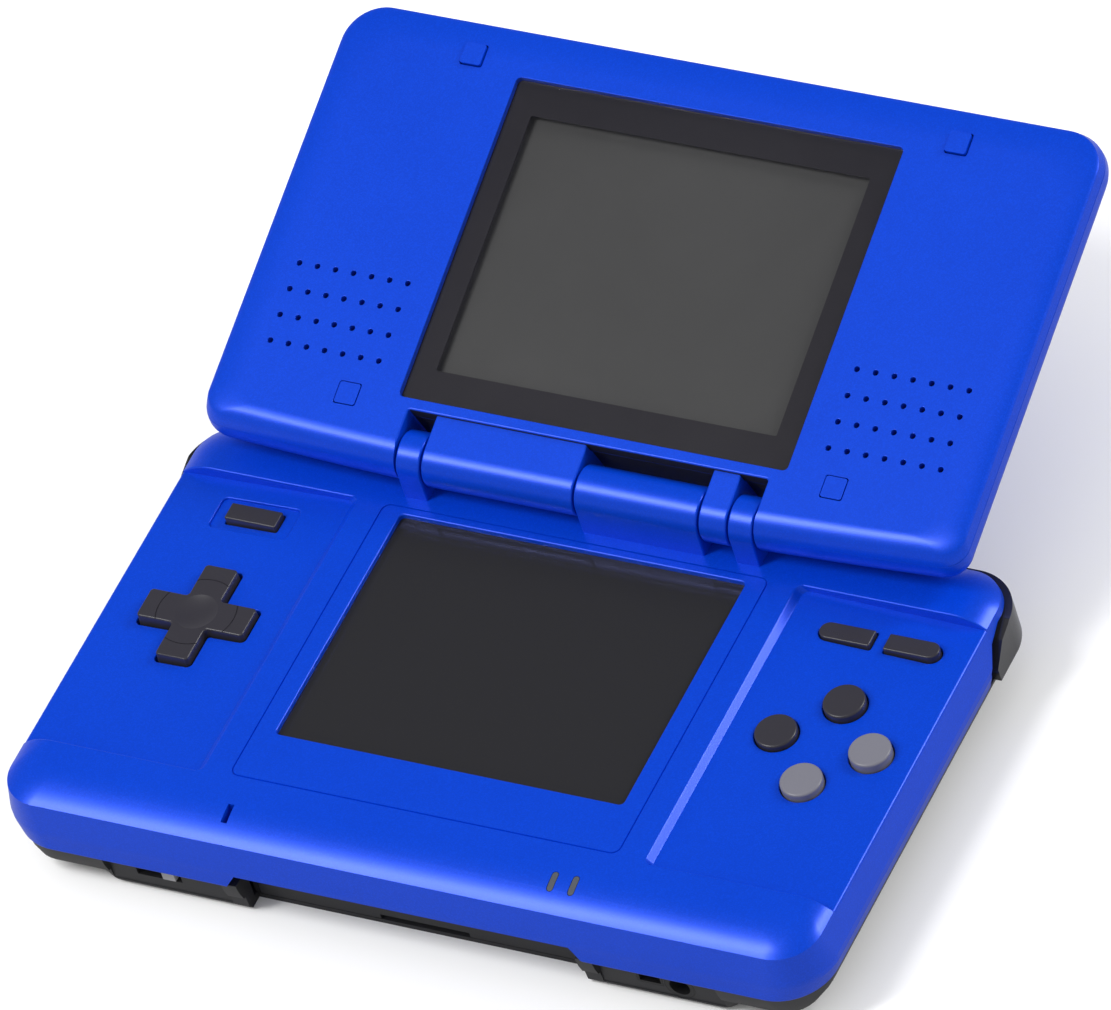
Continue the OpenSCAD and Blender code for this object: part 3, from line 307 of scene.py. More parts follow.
CARRIED_OVER: dict[Finish, tuple[str, ...]] = {
    BLUE: ("base_top_shell", "lid_inner_bezel", "lid_outer_shell", "lid_bumpers",
           "lid_screw_plugs"),
    DARK_SHELL: ("base_lower_shell", "battery_cover", "cartridge_slot_cover"),
    DARK_KEY: ("dpad", "action_button_rear", "action_button_left", "select_button",
               "start_button", "power_button"),
    GREY_KEY: ("action_button_right", "action_button_front"),
    GLOSS_BLACK: ("left_shoulder_button", "right_shoulder_button", "stylus"),
    BORDER: ("upper_lens_border",),
    CLEAR: ("upper_lens",),
    TOUCH: ("touch_panel",),
    UPPER_LCD: ("upper_display_panel",),
    LOWER_LCD: ("lower_display_panel",),
    METAL: ("battery_cover_screw", "base_screws", "lid_screws", "shoulder_pivot_pins",
            "shoulder_springs", "hinge_clutch", "hinge_bush", "dpad_pivot",
            "lower_display_frame", "upper_display_frame", "wireless_module",
            "microphone_capsule", "left_speaker", "right_speaker"),
    GOLD: ("battery_contacts",),
    BLACK: ("card_slot_housing", "cartridge_slot_housing", "power_jack", "headphone_socket",
            "accessory_socket", "stylus_channel", "volume_control", "shoulder_switches",
            "power_switch"),
    IVORY: ("cartridge_slot_connector",),
    CONTROL_GREY: ("volume_slider",),
    LAMP: ("lamp_guides",),
    BOARD: ("main_circuit_board", "lid_circuit_board"),
    SLEEVE: ("battery_pack",),
    RUBBER: ("dpad_rubber", "action_buttons_rubber", "start_select_rubber"),
    FILM: ("hinge_ribbon",),
    MESH: ("speaker_mesh",),
}


# How far, in mm, a cutting solid stands past the surface that it cuts.
OVER = 0.004
# An outline's points or a stack of rings; and a closed solid's points with its faces.
Points = np.ndarray
Solid = tuple[np.ndarray, list[tuple[int, ...]]]
# Which ends of a small key are round, left and right.
Ends = tuple[bool, bool]


def rounded(corners: list[Pair], radii: object, steps: int = 12) -> Points:
    """Work out a closed outline whose corners are arcs.

    Each arc touches both sides of its corner: its centre lies on the corner's half line, at
    radius / sin(half the corner's angle), and its points are spread evenly from one side's
    touching point to the other's.

    Args:
        corners: The corners in millimetres, anticlockwise.
        radii: One radius for all, or one for each corner.
        steps: Number of pieces in each arc.

    Returns:
        The outline's points, one row each.
    """
    at = np.asarray(corners, float)
    radius = np.broadcast_to(np.asarray(radii, float), len(at))[:, None]
    back = np.roll(at, 1, 0) - at
    on = np.roll(at, -1, 0) - at
    back /= np.linalg.norm(back, axis=1, keepdims=True)
    on /= np.linalg.norm(on, axis=1, keepdims=True)
    half = np.arccos(np.clip((back * on).sum(1), -1, 1))[:, None] / 2
    middle = back + on
    middle /= np.linalg.norm(middle, axis=1, keepdims=True)
    centre = at + middle * radius / np.sin(half)
    first = at + back * radius / np.tan(half) - centre
    last = at + on * radius / np.tan(half) - centre
    start = np.arctan2(first[:, 1], first[:, 0])[:, None]
    turn = np.arctan2(last[:, 1], last[:, 0])[:, None] - start
    turn = (turn + np.pi) % (2 * np.pi) - np.pi
    angle = start + turn * np.linspace(0, 1, steps + 1)
    points = centre[:, None] + radius[:, None] * np.stack([np.cos(angle), np.sin(angle)], -1)
    return points.reshape(-1, 2)


def oblong(x0: float, x1: float, y0: float, y1: float, radius: object, steps: int = 12) -> Points:
    """Work out a rectangle's outline with round corners, from the lower left anticlockwise."""
    return rounded([(x0, y0), (x1, y0), (x1, y1), (x0, y1)], radius, steps)


def centred(
    x: float, y: float, half_x: float, half_y: float, radius: float, steps: int = 12
) -> Points:
    """Work out an oblong's outline from its centre and half its sides."""
    return oblong(x - half_x, x + half_x, y - half_y, y + half_y, radius, steps)


def quarter(steps: int) -> Points:
    """Spread angles evenly over a quarter turn."""
    return np.linspace(0, np.pi / 2, steps + 1)


def circle(x: float, y: float, radius: float, steps: int = 72) -> Points:
    """Work out a circle's outline: the centre plus the radius along evenly spread angles."""
    angle = np.linspace(0, 2 * np.pi, steps, endpoint=False)
    return np.stack([x + radius * np.cos(angle), y + radius * np.sin(angle)], -1)


def grown(outline: Points, distance: float) -> Points:
    """Move a closed outline outwards.

    Each point moves along the sum of its two sides' normals, scaled so that both sides move
    by the distance.

    Args:
        outline: The outline's points, anticlockwise.
        distance: How far in millimetres, less than 0 for inwards.

    Returns:
        The new points.
    """
    side = np.roll(outline, -1, 0) - outline
    length = np.maximum(np.linalg.norm(side, axis=1, keepdims=True), 1e-9)
    normal = np.stack([side[:, 1], -side[:, 0]], -1) / length
    both = normal + np.roll(normal, 1, 0)
    return outline + distance * 2 * both / np.maximum((both**2).sum(1, keepdims=True), 0.5)


def stacked(outlines: list[Points], heights: list[object]) -> Points:
    """Give each outline its height, a number or one for each point, and stack the rings."""
    return np.stack([
        np.column_stack([o, np.broadcast_to(h, len(o))]) for o, h in zip(outlines, heights)
    ])


def quads_between(count: int, size: int, looped: bool) -> list[tuple[int, ...]]:
    """Number the quads that join point j of each ring with point j + 1 and the next ring."""
    row = np.arange(count if looped else count - 1)[:, None]
    here = np.arange(size)[None, :]
    after = (here + 1) % size
    low, high = row * size, (row + 1) % count * size
    quads = np.stack([low + here, low + after, high + after, high + here], -1)
    return [tuple(quad) for quad in quads.reshape(-1, 4).tolist()]


def skinned(rings: Points) -> Solid:
    """Skin a stack of rings and fill the first and the last ring with one face each."""
    count, size = rings.shape[:2]
    faces = quads_between(count, size, False)
    faces.append(tuple(range(size))[::-1])
    faces.append(tuple(range((count - 1) * size, count * size)))
    return rings.reshape(-1, 3), faces


def looped(rings: Points) -> Solid:
    """Skin a loop of rings whose last ring joins the first."""
    count, size = rings.shape[:2]
    return rings.reshape(-1, 3), quads_between(count, size, True)


def prism(outline: Points, low: object, high: object) -> Solid:
    """Stand an outline up between two heights."""
    return skinned(stacked([outline, outline], [low, high]))


def block(x0: float, x1: float, y0: float, y1: float, z0: float, z1: float) -> Solid:
    """Build a plain cutting block from its six sides' places."""
    return prism(np.array([(x0, y0), (x1, y0), (x1, y1), (x0, y1)], float), z0, z1)


def rim_hole(outline: Points, low: object, top: object, fillet: float, steps: int = 9) -> Solid:
    """Build the solid that cuts a hole with a rounded rim.

    The wall stands straight to a fillet's height under the top, and then flares by a quarter
    circle: outwards by fillet * (1 - cos t), upwards by fillet * sin t.

    Args:
        outline: The hole's outline.
        low: Height of its bottom.
        top: Height of the surface round it, a number or one for each point.
        fillet: Radius of the rim.
        steps: Number of pieces in the quarter circle.

    Returns:
        The solid.
    """
    turns = quarter(steps)
    flares = [grown(outline, fillet * (1 - math.cos(t))) for t in turns]
    rises = [top - fillet + (fillet + OVER) * math.sin(t) for t in turns]
    return skinned(stacked([outline, *flares, flares[-1]], [low, *rises, top + 3.0]))


def rim_body(outline: Points, low: float, top: float, fillet: float, steps: int = 9) -> Points:
    """Work out the rings of a key: a straight wall under an edge of a quarter circle."""
    turns = quarter(steps)
    flares = [grown(outline, -fillet * (1 - math.cos(t))) for t in turns]
    rises = [top - fillet + fillet * math.sin(t) for t in turns]
    return stacked([outline, *flares], [low, *rises])


def groove(outline: Points, half: float, depth: float, top: float) -> Solid:
    """Build the ring that cuts a fine groove along a closed outline.

    Args:
        outline: The groove's middle line.
        half: Half its width at the top.
        depth: Depth under the top.
        top: Height of the surface.

    Returns:
        The solid, a loop of four-sided sections that narrow to a third at the bottom.
    """
    offsets = (half + 0.02, half / 3, -half / 3, -half - 0.02)
    heights = (top + 0.1, top - depth, top - depth, top + 0.1)
    rings = stacked([grown(outline, o) for o in offsets], list(heights))
    return looped(rings)


def carried(axis: str, sections: list[Points], places: Points) -> Solid:
    """Carry sections along an axis and close both ends.

    Args:
        axis: "x", where the sections are in y and z, or "y", where they are in x and z.
        sections: One section, or one for each place.
        places: Where they stand along the axis.

    Returns:
        The solid.
    """
    flat = np.stack(sections if len(sections) > 1 else sections * len(places))
    across = np.broadcast_to(np.asarray(places, float)[:, None], flat.shape[:2])
    columns = [across, flat[..., 0], flat[..., 1]]
    if axis == "y":
        columns = [flat[..., 0], across, flat[..., 1]]
    return skinned(np.stack(columns, -1))


def round_ended(section: Points, x0: float, x1: float, fillet: float, steps: int = 8) -> Solid:
    """Carry a section along x and round both ends by a quarter circle.

    At an angle t the section stands fillet * (1 - cos t) in from the end, and it is shrunk by
    fillet * (1 - sin t).

    Args:
        section: The section in y and z, anticlockwise.
        x0: First end.
        x1: Last end.
        fillet: Radius of the rounding.
        steps: Number of pieces in each quarter circle.

    Returns:
        The solid.
    """
    turns = quarter(steps)
    run = fillet * (1 - np.cos(turns))
    shrink = [grown(section, -fillet * (1 - math.sin(t))) for t in turns]
    places = np.concatenate([x0 + run, (x1 - run)[::-1]])
    return carried("x", shrink + shrink[::-1], places)


def both_sides(solid: Solid) -> list[Solid]:
    """Give a solid and its mirror image on the other side of the middle."""
    return [solid, (solid[0] * (-1, 1, 1), solid[1])]


def mesh_of(name: str, solids: list[Solid]) -> Mesh:
    """Put closed solids into one mesh in millimetres, with their faces outwards."""
    starts = np.cumsum([0] + [len(points) for points, _ in solids])
    faces = [
        tuple(i + start for i in face)
        for start, (_, several) in zip(starts.tolist(), solids) for face in several
    ]
    mesh = bpy.data.meshes.new(name)
    mesh.from_pydata(np.concatenate([points for points, _ in solids]).tolist(), [], faces)
    work = bmesh.new()
    work.from_mesh(mesh)
    bmesh.ops.remove_doubles(work, verts=work.verts, dist=1e-5)
    bmesh.ops.recalc_face_normals(work, faces=work.faces)
    work.to_mesh(mesh)
    work.free()
    return mesh


def new_object(name: str, data: bpy.types.ID) -> bpy.types.Object:
    """Put an object into the scene."""
    made = bpy.data.objects.new(name, data)
    bpy.context.scene.collection.objects.link(made)
    return made


def carved(name: str, body: Solid, added: list[Solid], removed: list[Solid]) -> Mesh:
    """Join solids to a body and cut others out of it.

    Args:
        name: Name of the mesh.
        body: The body.
        added: Solids that are joined to it.
        removed: Solids that are cut out after that.

    Returns:
        The mesh in millimetres.
    """
    whole = new_object(name, mesh_of(name, [body]))
    groups = []
    for operation, solids in (("UNION", added), ("DIFFERENCE", removed)):
        if not solids:
            continue
        group = bpy.data.collections.new(operation)
        bpy.context.scene.collection.children.link(group)
        groups.append(group)
        for solid in solids:
            group.objects.link(bpy.data.objects.new(operation, mesh_of(operation, [solid])))
        modifier = whole.modifiers.new(operation, "BOOLEAN")
        modifier.operation = operation
        modifier.operand_type = "COLLECTION"
        modifier.collection = group
        modifier.solver = "EXACT"
    bpy.context.view_layer.update()
    seen = whole.evaluated_get(bpy.context.evaluated_depsgraph_get())
    made = bpy.data.meshes.new_from_object(seen)
    made.name = name
    for group in groups:
        for tool in list(group.objects):
            bpy.data.meshes.remove(tool.data)
        bpy.data.collections.remove(group)
    bpy.data.meshes.remove(whole.data)
    return made


def joined(name: str, meshes: list[Mesh]) -> Mesh:
    """Put several meshes into one, and remove them."""
    work = bmesh.new()
    for mesh in meshes:
        work.from_mesh(mesh)
        bpy.data.meshes.remove(mesh)
    made = bpy.data.meshes.new(name)
    work.to_mesh(made)
    work.free()
    return made


SHADE_EDGE = math.radians(13)
TILT = math.radians(17)
HINGE_Y, HINGE_Z = 35.9, 24.3
BARREL_R = 4.3
TO_METRES = Matrix.Scale(MM, 4)
LID_PLACE = TO_METRES @ Matrix.Translation((0, HINGE_Y, HINGE_Z)) @ Matrix.Rotation(TILT, 4, "X")


def add_piece(
    name: str, mesh: Mesh, finish: Finish, body: str, nodes: tuple[str, ...],
    place: Matrix = TO_METRES, dark: np.ndarray | None = None,
) -> bpy.types.Object:
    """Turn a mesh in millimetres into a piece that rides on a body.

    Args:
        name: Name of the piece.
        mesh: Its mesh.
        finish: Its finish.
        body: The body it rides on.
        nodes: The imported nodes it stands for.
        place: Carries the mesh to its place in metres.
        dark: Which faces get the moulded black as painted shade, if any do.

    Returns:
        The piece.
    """
    mesh.transform(place)
    mesh.materials.clear()
    mesh.materials.append(finish.material())
    mesh.polygons.foreach_set("use_smooth", np.ones(len(mesh.polygons), bool))
    # Faces given as dark take the moulded black: painted shade where the hinge gap lies in shadow.
    if dark is not None:
        mesh.materials.append(BLACK.material())
        mesh.polygons.foreach_set("material_index", dark.astype(np.int32))
    piece = new_object(name, mesh)
    mesh.set_sharp_from_angle(angle=SHADE_EDGE)
    piece.modifiers.new("weighted", "WEIGHTED_NORMAL").keep_sharp = True
    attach(piece, body)
    if nodes:
        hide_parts(*nodes)
    LOG.info("%s: %d faces", name, len(mesh.polygons))
    return piece


# The small keys' left and right ends along x, and which of them are round.
SMALL_KEYS: dict[str, tuple[float, float, Ends]] = {
    "select": (46.6, 55.9, (True, False)),
    "start": (58.4, 67.7, (False, True)),
    "power": (-60.5, -51.2, (False, False)),
}


@dataclass
class BaseShell:
    """The blue upper half of the base: a flat deck, a rolled edge, two sunk panels, openings.

    Sizes are in mm. A level of the skirt is half its width, its front, its rear, its corner
    radius and its height. Other outlines are left, right, front, rear and corner radius.
    """

    deck: float = 19.0
    crease: tuple[float, float, float, float, float] = (72.6, -41.15, 40.8, 7.0, 16.8)
    roll: tuple[float, float, float, float] = (5.8, 7.8, 5.2, 2.2)
    roll_turn: float = math.radians(45)
    skirt: tuple[tuple[float, ...], ...] = (
        (72.8, -42.15, 41.65, 9.0, 7.6), (72.97, -42.31, 41.81, 9.0, 7.68),
        (73.04, -42.34, 41.89, 9.0, 7.85), (73.9, -42.1, 42.35, 9.0, 10.4),
        (73.9, -42.1, 42.35, 9.0, 11.6),
    )
    panel_in: float = 39.6
    panel_bevel: float = 1.1
    panel_ends: Pair = (-29.35, 29.65)
    panel_corner: float = 1.2
    slope: float = -0.03605
    inside: float = 14.0
    hollow: tuple[float, ...] = (-71.1, 71.1, -39.65, 39.3, 6.0)
    hollow_top: float = 15.7
    window_y: float = 4.45
    window: Pair = (31.2, 23.7)
    screen_room: Pair = (34.8, 26.8)
    film: float = 0.93
    seam: tuple[float, ...] = (-34.75, 34.75, -28.8, 29.6, 1.45)
    shoulder: tuple[Pair, ...] = (
        (25.73, 7.0), (45.0, 7.0), (45.0, 15.45), (32.73, 15.45), (29.13, 14.25), (25.73, 10.85),
    )
    shoulder_x: float = 50.35
    pad_at: Pair = (-55.6, 1.2)
    keys_at: Pair = (57.0, 1.2)
    key_ring: float = 8.3
    key_hole_r: float = 3.7
    small_y: float = 22.8
    small_half: float = 1.65
    small_gap: float = 0.2
    dish: tuple[float, float, float] = (-63.1, -48.6, 3.2)
    dish_depth: float = 0.45
    edge_y: float = -36.2
    lamps_x: Pair = (26.7, 30.4)
    barrels: tuple[Pair, ...] = ((-32.15, -27.85), (0.175, 22.25), (27.85, 32.15))

    def panel_z(self, x: object) -> object:
        """Work out the height of the sunk panels, which fall evenly towards the sides."""
        return self.deck - 1.1 + self.slope * (np.abs(x) - self.panel_in - self.panel_bevel)

    def form(self) -> Solid:
        """Build the outer form.

        The skirt's rings lead up to the crease. From there the edge rolls in on an arc of
        turn T, stretched to each side's reach: as a falls from T to 0, a side moves in by its
        reach times 1 - sin(a) / sin(T), and the height is the deck's less the drop times
        (1 - cos(a)) / (1 - cos(T)).

        Returns:
            The solid.
        """
        x, y0, y1, r, _ = self.crease
        in_x, in_front, in_rear, drop = self.roll
        outlines = [oblong(-w, w, a, b, c, 16) for w, a, b, c, _ in self.skirt]
        heights = [level[4] for level in self.skirt]
        for angle in np.linspace(self.roll_turn, 0, 13):
            s = 1 - math.sin(angle) / math.sin(self.roll_turn)
            fall = (1 - math.cos(angle)) / (1 - math.cos(self.roll_turn))
            outlines.append(oblong(
                in_x * s - x, x - in_x * s, y0 + in_front * s, y1 - in_rear * s, r - 3 * s, 16
            ))
            heights.append(self.deck - drop * fall)
        return skinned(stacked(outlines, heights))

    def barrel(self, x0: float, x1: float) -> Solid:
        """Build a hinge barrel: most of a circle on a foot, with rounded ends."""
        angle = np.linspace(math.radians(-21), np.pi, 48)
        arc = np.stack([
            HINGE_Y + BARREL_R * np.cos(angle), HINGE_Z + BARREL_R * np.sin(angle)
        ], -1)
        foot = np.array([(HINGE_Y - BARREL_R, 16.6), (HINGE_Y + BARREL_R - 0.4, 16.6)])
        return round_ended(np.concatenate([foot, arc]), x0, x1, 0.3)

    def panel(self) -> Solid:
        """Build the solid that cuts the right panel.

        Its section falls from the deck by a bevel, runs along the sloping floor and rolls over
        the crease. It is carried from end to end, and the bevel moves out near each end by
        r * (1 - sin(t)) at r * (1 - cos(t)) from it, so that the corners are round.

        Returns:
            The solid.
        """
        inner, r = self.panel_in, self.panel_corner
        wall = np.array([1.3, -5.2]) / math.hypot(1.3, 5.2)
        out = np.array([-wall[1], wall[0]])
        edge = np.array([self.crease[0], self.panel_z(self.crease[0])])
        leave = edge + wall * 0.5
        turns = quarter(8)
        shifts = np.concatenate([r * (1 - np.sin(turns)), (r * (1 - np.sin(turns)))[::-1]])
        places = np.concatenate([
            self.panel_ends[0] + r * (1 - np.cos(turns)),
            (self.panel_ends[1] - r * (1 - np.cos(turns)))[::-1],
        ])
        sections = []
        for shift in shifts:
            low = inner + self.panel_bevel + shift
            sections.append(rounded(
                [
                    (inner - 0.5 + shift, self.deck + OVER), (inner + shift, self.deck),
                    (low, self.panel_z(low)), tuple(edge), tuple(leave),
                    tuple(leave + out * 5), (leave[0] + 5, 24), (inner - 0.5 + shift, 24),
                ],
                [0.001, 0.55, 0.35, 0.55, 0.001, 0.001, 0.001, 0.001], 8,
            ))
        return carried("y", sections, places)

    def panel_lip(self, end: float, way: float) -> Solid:
        """Build the solid that rounds the upper edge at one end of the right panel.

        Past the end, at f * (1 - cos t), its underside lies f * (1 - sin t) under the outer
        form, whose height at x is the roll's: sin(a) = sin(T) * (1 - (crease - x) / reach).

        Args:
            end: The end's place along y.
            way: 1 towards the rear, -1 towards the front.

        Returns:
            The solid.
        """
        fillet, start = 0.3, self.panel_in + self.panel_corner
        end_x = self.crease[0]
        x = np.concatenate([[start], np.linspace(end_x - self.roll[0], end_x, 14)])
        sine = math.sin(self.roll_turn) * (1 - np.clip((end_x - x) / self.roll[0], 0, 1))
        fall = (1 - np.sqrt(1 - sine**2)) / (1 - math.cos(self.roll_turn))
        top = self.deck - self.roll[3] * fall
        turns = quarter(6)
        sections = []
        for t in turns:
            under = np.stack([x, top - (fillet + OVER) * (1 - math.sin(t)) + OVER], -1)
            under[0, 0] -= fillet * (1 - math.cos(t))
            sections.append(np.concatenate([
                under, [(80.0, under[-1, 1]), (80.0, 24.0), (under[0, 0], 24.0)]
            ]))
        sections.insert(0, sections[0])
        run = np.concatenate([[-0.1], fillet * (1 - np.cos(turns))])
        return carried("y", sections, end + way * run)

    def shoulder_room(self) -> Solid:
        """Build the room that is cut for the right shoulder button."""
        return carried("x", [np.array(self.shoulder)], np.array([self.shoulder_x, 80.0]))

    def small_outline(self, x0: float, x1: float, gap: float, ends: Ends) -> Points:
        """Work out a small key's outline, whose left and right ends are round or square."""
        half = self.small_half + gap
        square = 0.25 + gap / 2
        left, right = (half - 0.001 if end else square for end in ends)
        return oblong(
            x0 - gap, x1 + gap, self.small_y - half, self.small_y + half,
            [left, right, right, left],
        )

    def cross(self, half: float, arm: float, outer: float, inner: float) -> Points:
        """Work out the pad's outline about its own centre.

        Corners of the cross are arcs. The far ends then bulge: the longer coordinate becomes
        its distance from the arm's length plus the height of a circle of that length.

        Args:
            half: Half the width of an arm.
            arm: Length of an arm from the centre.
            outer: Radius of the outer corners.
            inner: Radius of the inner corners.

        Returns:
            The outline.
        """
        h, a = half, arm
        corners = [
            (h, -a), (h, -h), (a, -h), (a, h), (h, h), (h, a),
            (-h, a), (-h, h), (-a, h), (-a, -h), (-h, -h), (-h, -a),
        ]
        points = rounded(corners, [outer, inner, outer] * 4, 8)
        size = np.abs(points)
        long = size.max(1)
        bulge = np.sqrt(a * a - np.minimum(size.min(1), h) ** 2) - a
        share = np.clip((long - h - 1) / (a - h - 1), 0, 1)
        scale = 1 + bulge * share / np.maximum(long, 1e-6)
        along_x = (size[:, 0] >= size[:, 1])[:, None]
        return np.where(np.stack([along_x, ~along_x], -1)[:, 0], points * scale[:, None], points)

    def round_keys(self) -> list[Pair]:
        """Give the four round keys' places: rear, right, front, left."""
        x, y = self.keys_at
        return [(x, y + self.key_ring), (x + self.key_ring, y), (x, y - self.key_ring),
                (x - self.key_ring, y)]

    def key_hole(self, hole: Points, fillet: float, sunk: float = 0.0) -> Solid:
        """Build the solid that cuts a key's hole through the sloping panel."""
        return rim_hole(hole, self.inside, self.panel_z(hole[:, 0]) - sunk, fillet)

    def deck_openings(self) -> list[Solid]:
        """Build what is cut for the screen, the microphone and the two panels."""
        low, deck, y, slot_y = self.inside, self.deck, self.window_y, self.edge_y
        cuts = [
            prism(oblong(*self.hollow), 5.0, self.hollow_top),
            rim_hole(centred(0, y, *self.window, 0.8), 17.0, deck, 0.3),
            prism(centred(0, y, *self.screen_room, 0.6), low, deck - self.film),
            groove(oblong(*self.seam, 8), 0.15, 0.25, deck),
            block(-32.15, -31.05, slot_y - 1.7, slot_y + 1.7, low, 21),
        ]
        cuts += both_sides(self.panel()) + both_sides(self.shoulder_room())
        for end, way in zip(self.panel_ends, (-1, 1)):
            cuts += both_sides(self.panel_lip(end, way))
        return cuts

    def key_openings(self) -> list[Solid]:
        """Build the holes of the keys and the pad, and the power key's dish."""
        cuts = [self.key_hole(circle(x, y, self.key_hole_r), 0.22) for x, y in self.round_keys()]
        cuts.append(self.key_hole(self.cross(3.45, 10.5, 0.7, 0.5) + self.pad_at, 0.22))
        gap = self.small_gap
        for name in ("select", "start"):
            x0, x1, ends = SMALL_KEYS[name]
            cuts.append(self.key_hole(self.small_outline(x0, x1, gap, ends), 0.2))
        x0, x1, half = self.dish
        dish = oblong(x0, x1, self.small_y - half, self.small_y + half, 1.0)
        top = self.panel_z(dish[:, 0])
        cuts.append(rim_hole(dish, top - self.dish_depth, top, 0.25))
        x0, x1, ends = SMALL_KEYS["power"]
        cuts.append(self.key_hole(self.small_outline(x0, x1, gap, ends), 0.15, self.dish_depth))
        return cuts

    def edge_openings(self) -> list[Solid]:
        """Build what is cut for the lamps, the cartridge, the card, the jack and the stylus."""
        y, half = self.edge_y, 0.6
        cuts = [
            prism(centred(x, y, half, 1.8, half - 0.001), self.inside, 21) for x in self.lamps_x
        ]
        lip = np.array([
            (-31.9, 7.0), (31.9, 7.0), (31.9, 7.6), (30.0, 10.3), (-30.0, 10.3), (-31.9, 7.6)
        ])
        cuts.append(carried("y", [lip], np.array([-45.0, -39.0])))
        cuts.append(block(-17.25, 17.25, 31.3, 45.0, 7.0, 12.0))
        cuts.append(block(-35.6, -26.4, 36.0, 45.0, 7.0, 13.1))
        cuts.append(carried("y", [circle(41.2, 9.0, 2.85, 48)], np.array([30.0, 45.0])))
        return cuts

    def build(self) -> None:
        """Build the shell."""
        mesh = carved(
            "base_top", self.form(), [self.barrel(*row) for row in self.barrels],
            self.deck_openings() + self.key_openings() + self.edge_openings(),
        )
        add_piece("base_upper_shell", mesh, BLUE, "base", ("base_top_shell",))


@dataclass
class LidShells:
    """The lid's two halves, worked out lying flat about the hinge axis, in mm."""

    half_width: float = 68.8
    reach: float = 74.4
    corner: float = 7.0
    near_corner: float = 4.0
    taper: Pair = (0.3, 2.1)
    face: float = 4.8
    seam: float = 2.2
    wide: float = 0.7
    back: float = -4.6
    crease_in: float = 0.4
    roll: float = 6.0
    roll_drop: float = 1.1
    back_roll: float = 10.0
    hinge_r: float = 4.7
    notch_x: float = 32.5
    notch_y: float = 6.0
    screen_y: float = 36.8
    lens: Pair = (35.05, 28.85)
    lens_z: float = 3.46
    screen: Pair = (32.02, 24.44)
    inside: float = 1.0
    speaker_room: tuple[float, ...] = (38.0, 63.0, 11.0, 30.0, 2.0)
    sound_at: Pair = (50.55, 20.1)
    sound_pitch: Pair = (3.32, 4.66)
    plugs: tuple[Pair, ...] = ((43.9, 68.05), (43.9, 6.7))
    hollows: tuple[tuple[float, ...], ...] = (
        (-66.0, 66.0, 7.6, 71.5, 5.0, -1.5, 4.0), (-63.8, 63.8, 8.0, 69.4, 5.5, -3.2, -1.0),
    )
    barrels: tuple[Pair, ...] = ((-27.5, -0.175), (22.6, 27.5))

    def level(self, inset: float, z: float) -> Points:
        """Work out the lid's outline at one height.

        Three sides move in by the inset. The side at the hinge lies on a circle about the
        hinge axis: y = -sqrt(r^2 - (z - 0.1)^2). It recedes towards the lid's sides by
        a + b * (x / w)^2, a shift that fades out over the first 30 mm of the lid's depth.

        Args:
            inset: How far the sides move in.
            z: The height.

        Returns:
            The outline.
        """
        near = -math.sqrt(max(self.hinge_r**2 - (z - 0.1) ** 2, 0.0))
        half = self.half_width - inset
        radii = [self.near_corner, self.near_corner, self.corner, self.corner]
        points = oblong(-half, half, near, self.reach - inset, radii, 16)
        x = np.linspace(-half + self.near_corner, half - self.near_corner, 60)[1:-1]
        side = np.stack([x, np.full(x.size, near)], -1)
        points = np.concatenate([points[:17], side, points[17:]])
        shift = self.taper[0] + self.taper[1] * (points[:, 0] / self.half_width) ** 2
        fade = np.clip(1 - (points[:, 1] - near) / 30, 0, 1)
        points[:, 1] += shift * fade
        return points

    def form(self, steps: list[Pair]) -> Solid:
        """Build a form from pairs of an inset and a height."""
        return skinned(stacked([self.level(*step) for step in steps], [z for _, z in steps]))

    def face_form(self) -> Solid:
        """Build the inner half: a straight wall and a quarter ellipse in to the face."""
        steps = [(0.12, self.seam), (0.03, self.seam + 0.04)]
        steps += [(self.crease_in * t, self.seam + (self.face - self.roll_drop - self.seam) * t)
                  for t in np.linspace(0.1, 1, 5)[:-1]]
        steps += [(self.crease_in + self.roll * (1 - math.sin(a)),
                   self.face - self.roll_drop * (1 - math.cos(a)))
                  for a in np.linspace(np.pi / 2, 0, 19)]
        return self.form(steps)

    def back_form(self) -> Solid:
        """Build the outer half: a quarter ellipse from the back to the widest height."""
        steps = [(self.back_roll * (1 - math.cos(a)),
                  self.wide - (self.wide - self.back) * math.sin(a))
                 for a in np.linspace(np.pi / 2, 0, 25)]
        rim = self.seam - 0.06 - self.wide
        steps += [(0.0, self.wide + rim * t) for t in (0.5, 0.93)]
        steps += [(0.03, self.wide + rim * 0.98), (0.12, self.wide + rim)]
        return self.form(steps)

    def notch(self) -> Solid:
        """Build the solid that cuts the gap for the hinge row."""
        outline = oblong(-self.notch_x, self.notch_x, -8.0, self.notch_y, 0.4, 6)
        return rim_hole(outline, -8.0, self.face, 0.35)

    def sound_holes(self) -> list[Points]:
        """Give the outlines of the right grille's holes, four rows of seven."""
        x, y = self.sound_at
        px, py = self.sound_pitch
        return [circle(x + px * i, y + py * (j - 1.5), 0.5, 20)
                for i in range(-3, 4) for j in range(4)]

    def face_cuts(self) -> list[Solid]:
        """Build what is cut out of the inner half."""
        y, top = self.screen_y, self.face
        cuts = [
            self.notch(),
            rim_hole(centred(0, y, *self.lens, 0.9), self.lens_z, top, 0.12),
            prism(centred(0, y, *self.screen, 0.5), self.inside, 4.0),
        ]
        cuts += both_sides(prism(oblong(*self.speaker_room), self.inside, self.lens_z))
        for hole in self.sound_holes():
            cuts += both_sides(rim_hole(hole, self.inside, top, 0.07, 3))
        for x, y in self.plugs:
            cuts += both_sides(rim_hole(centred(x, y, 2.0, 2.0, 0.4, 6), 3.4, top, 0.12, 5))
        return cuts

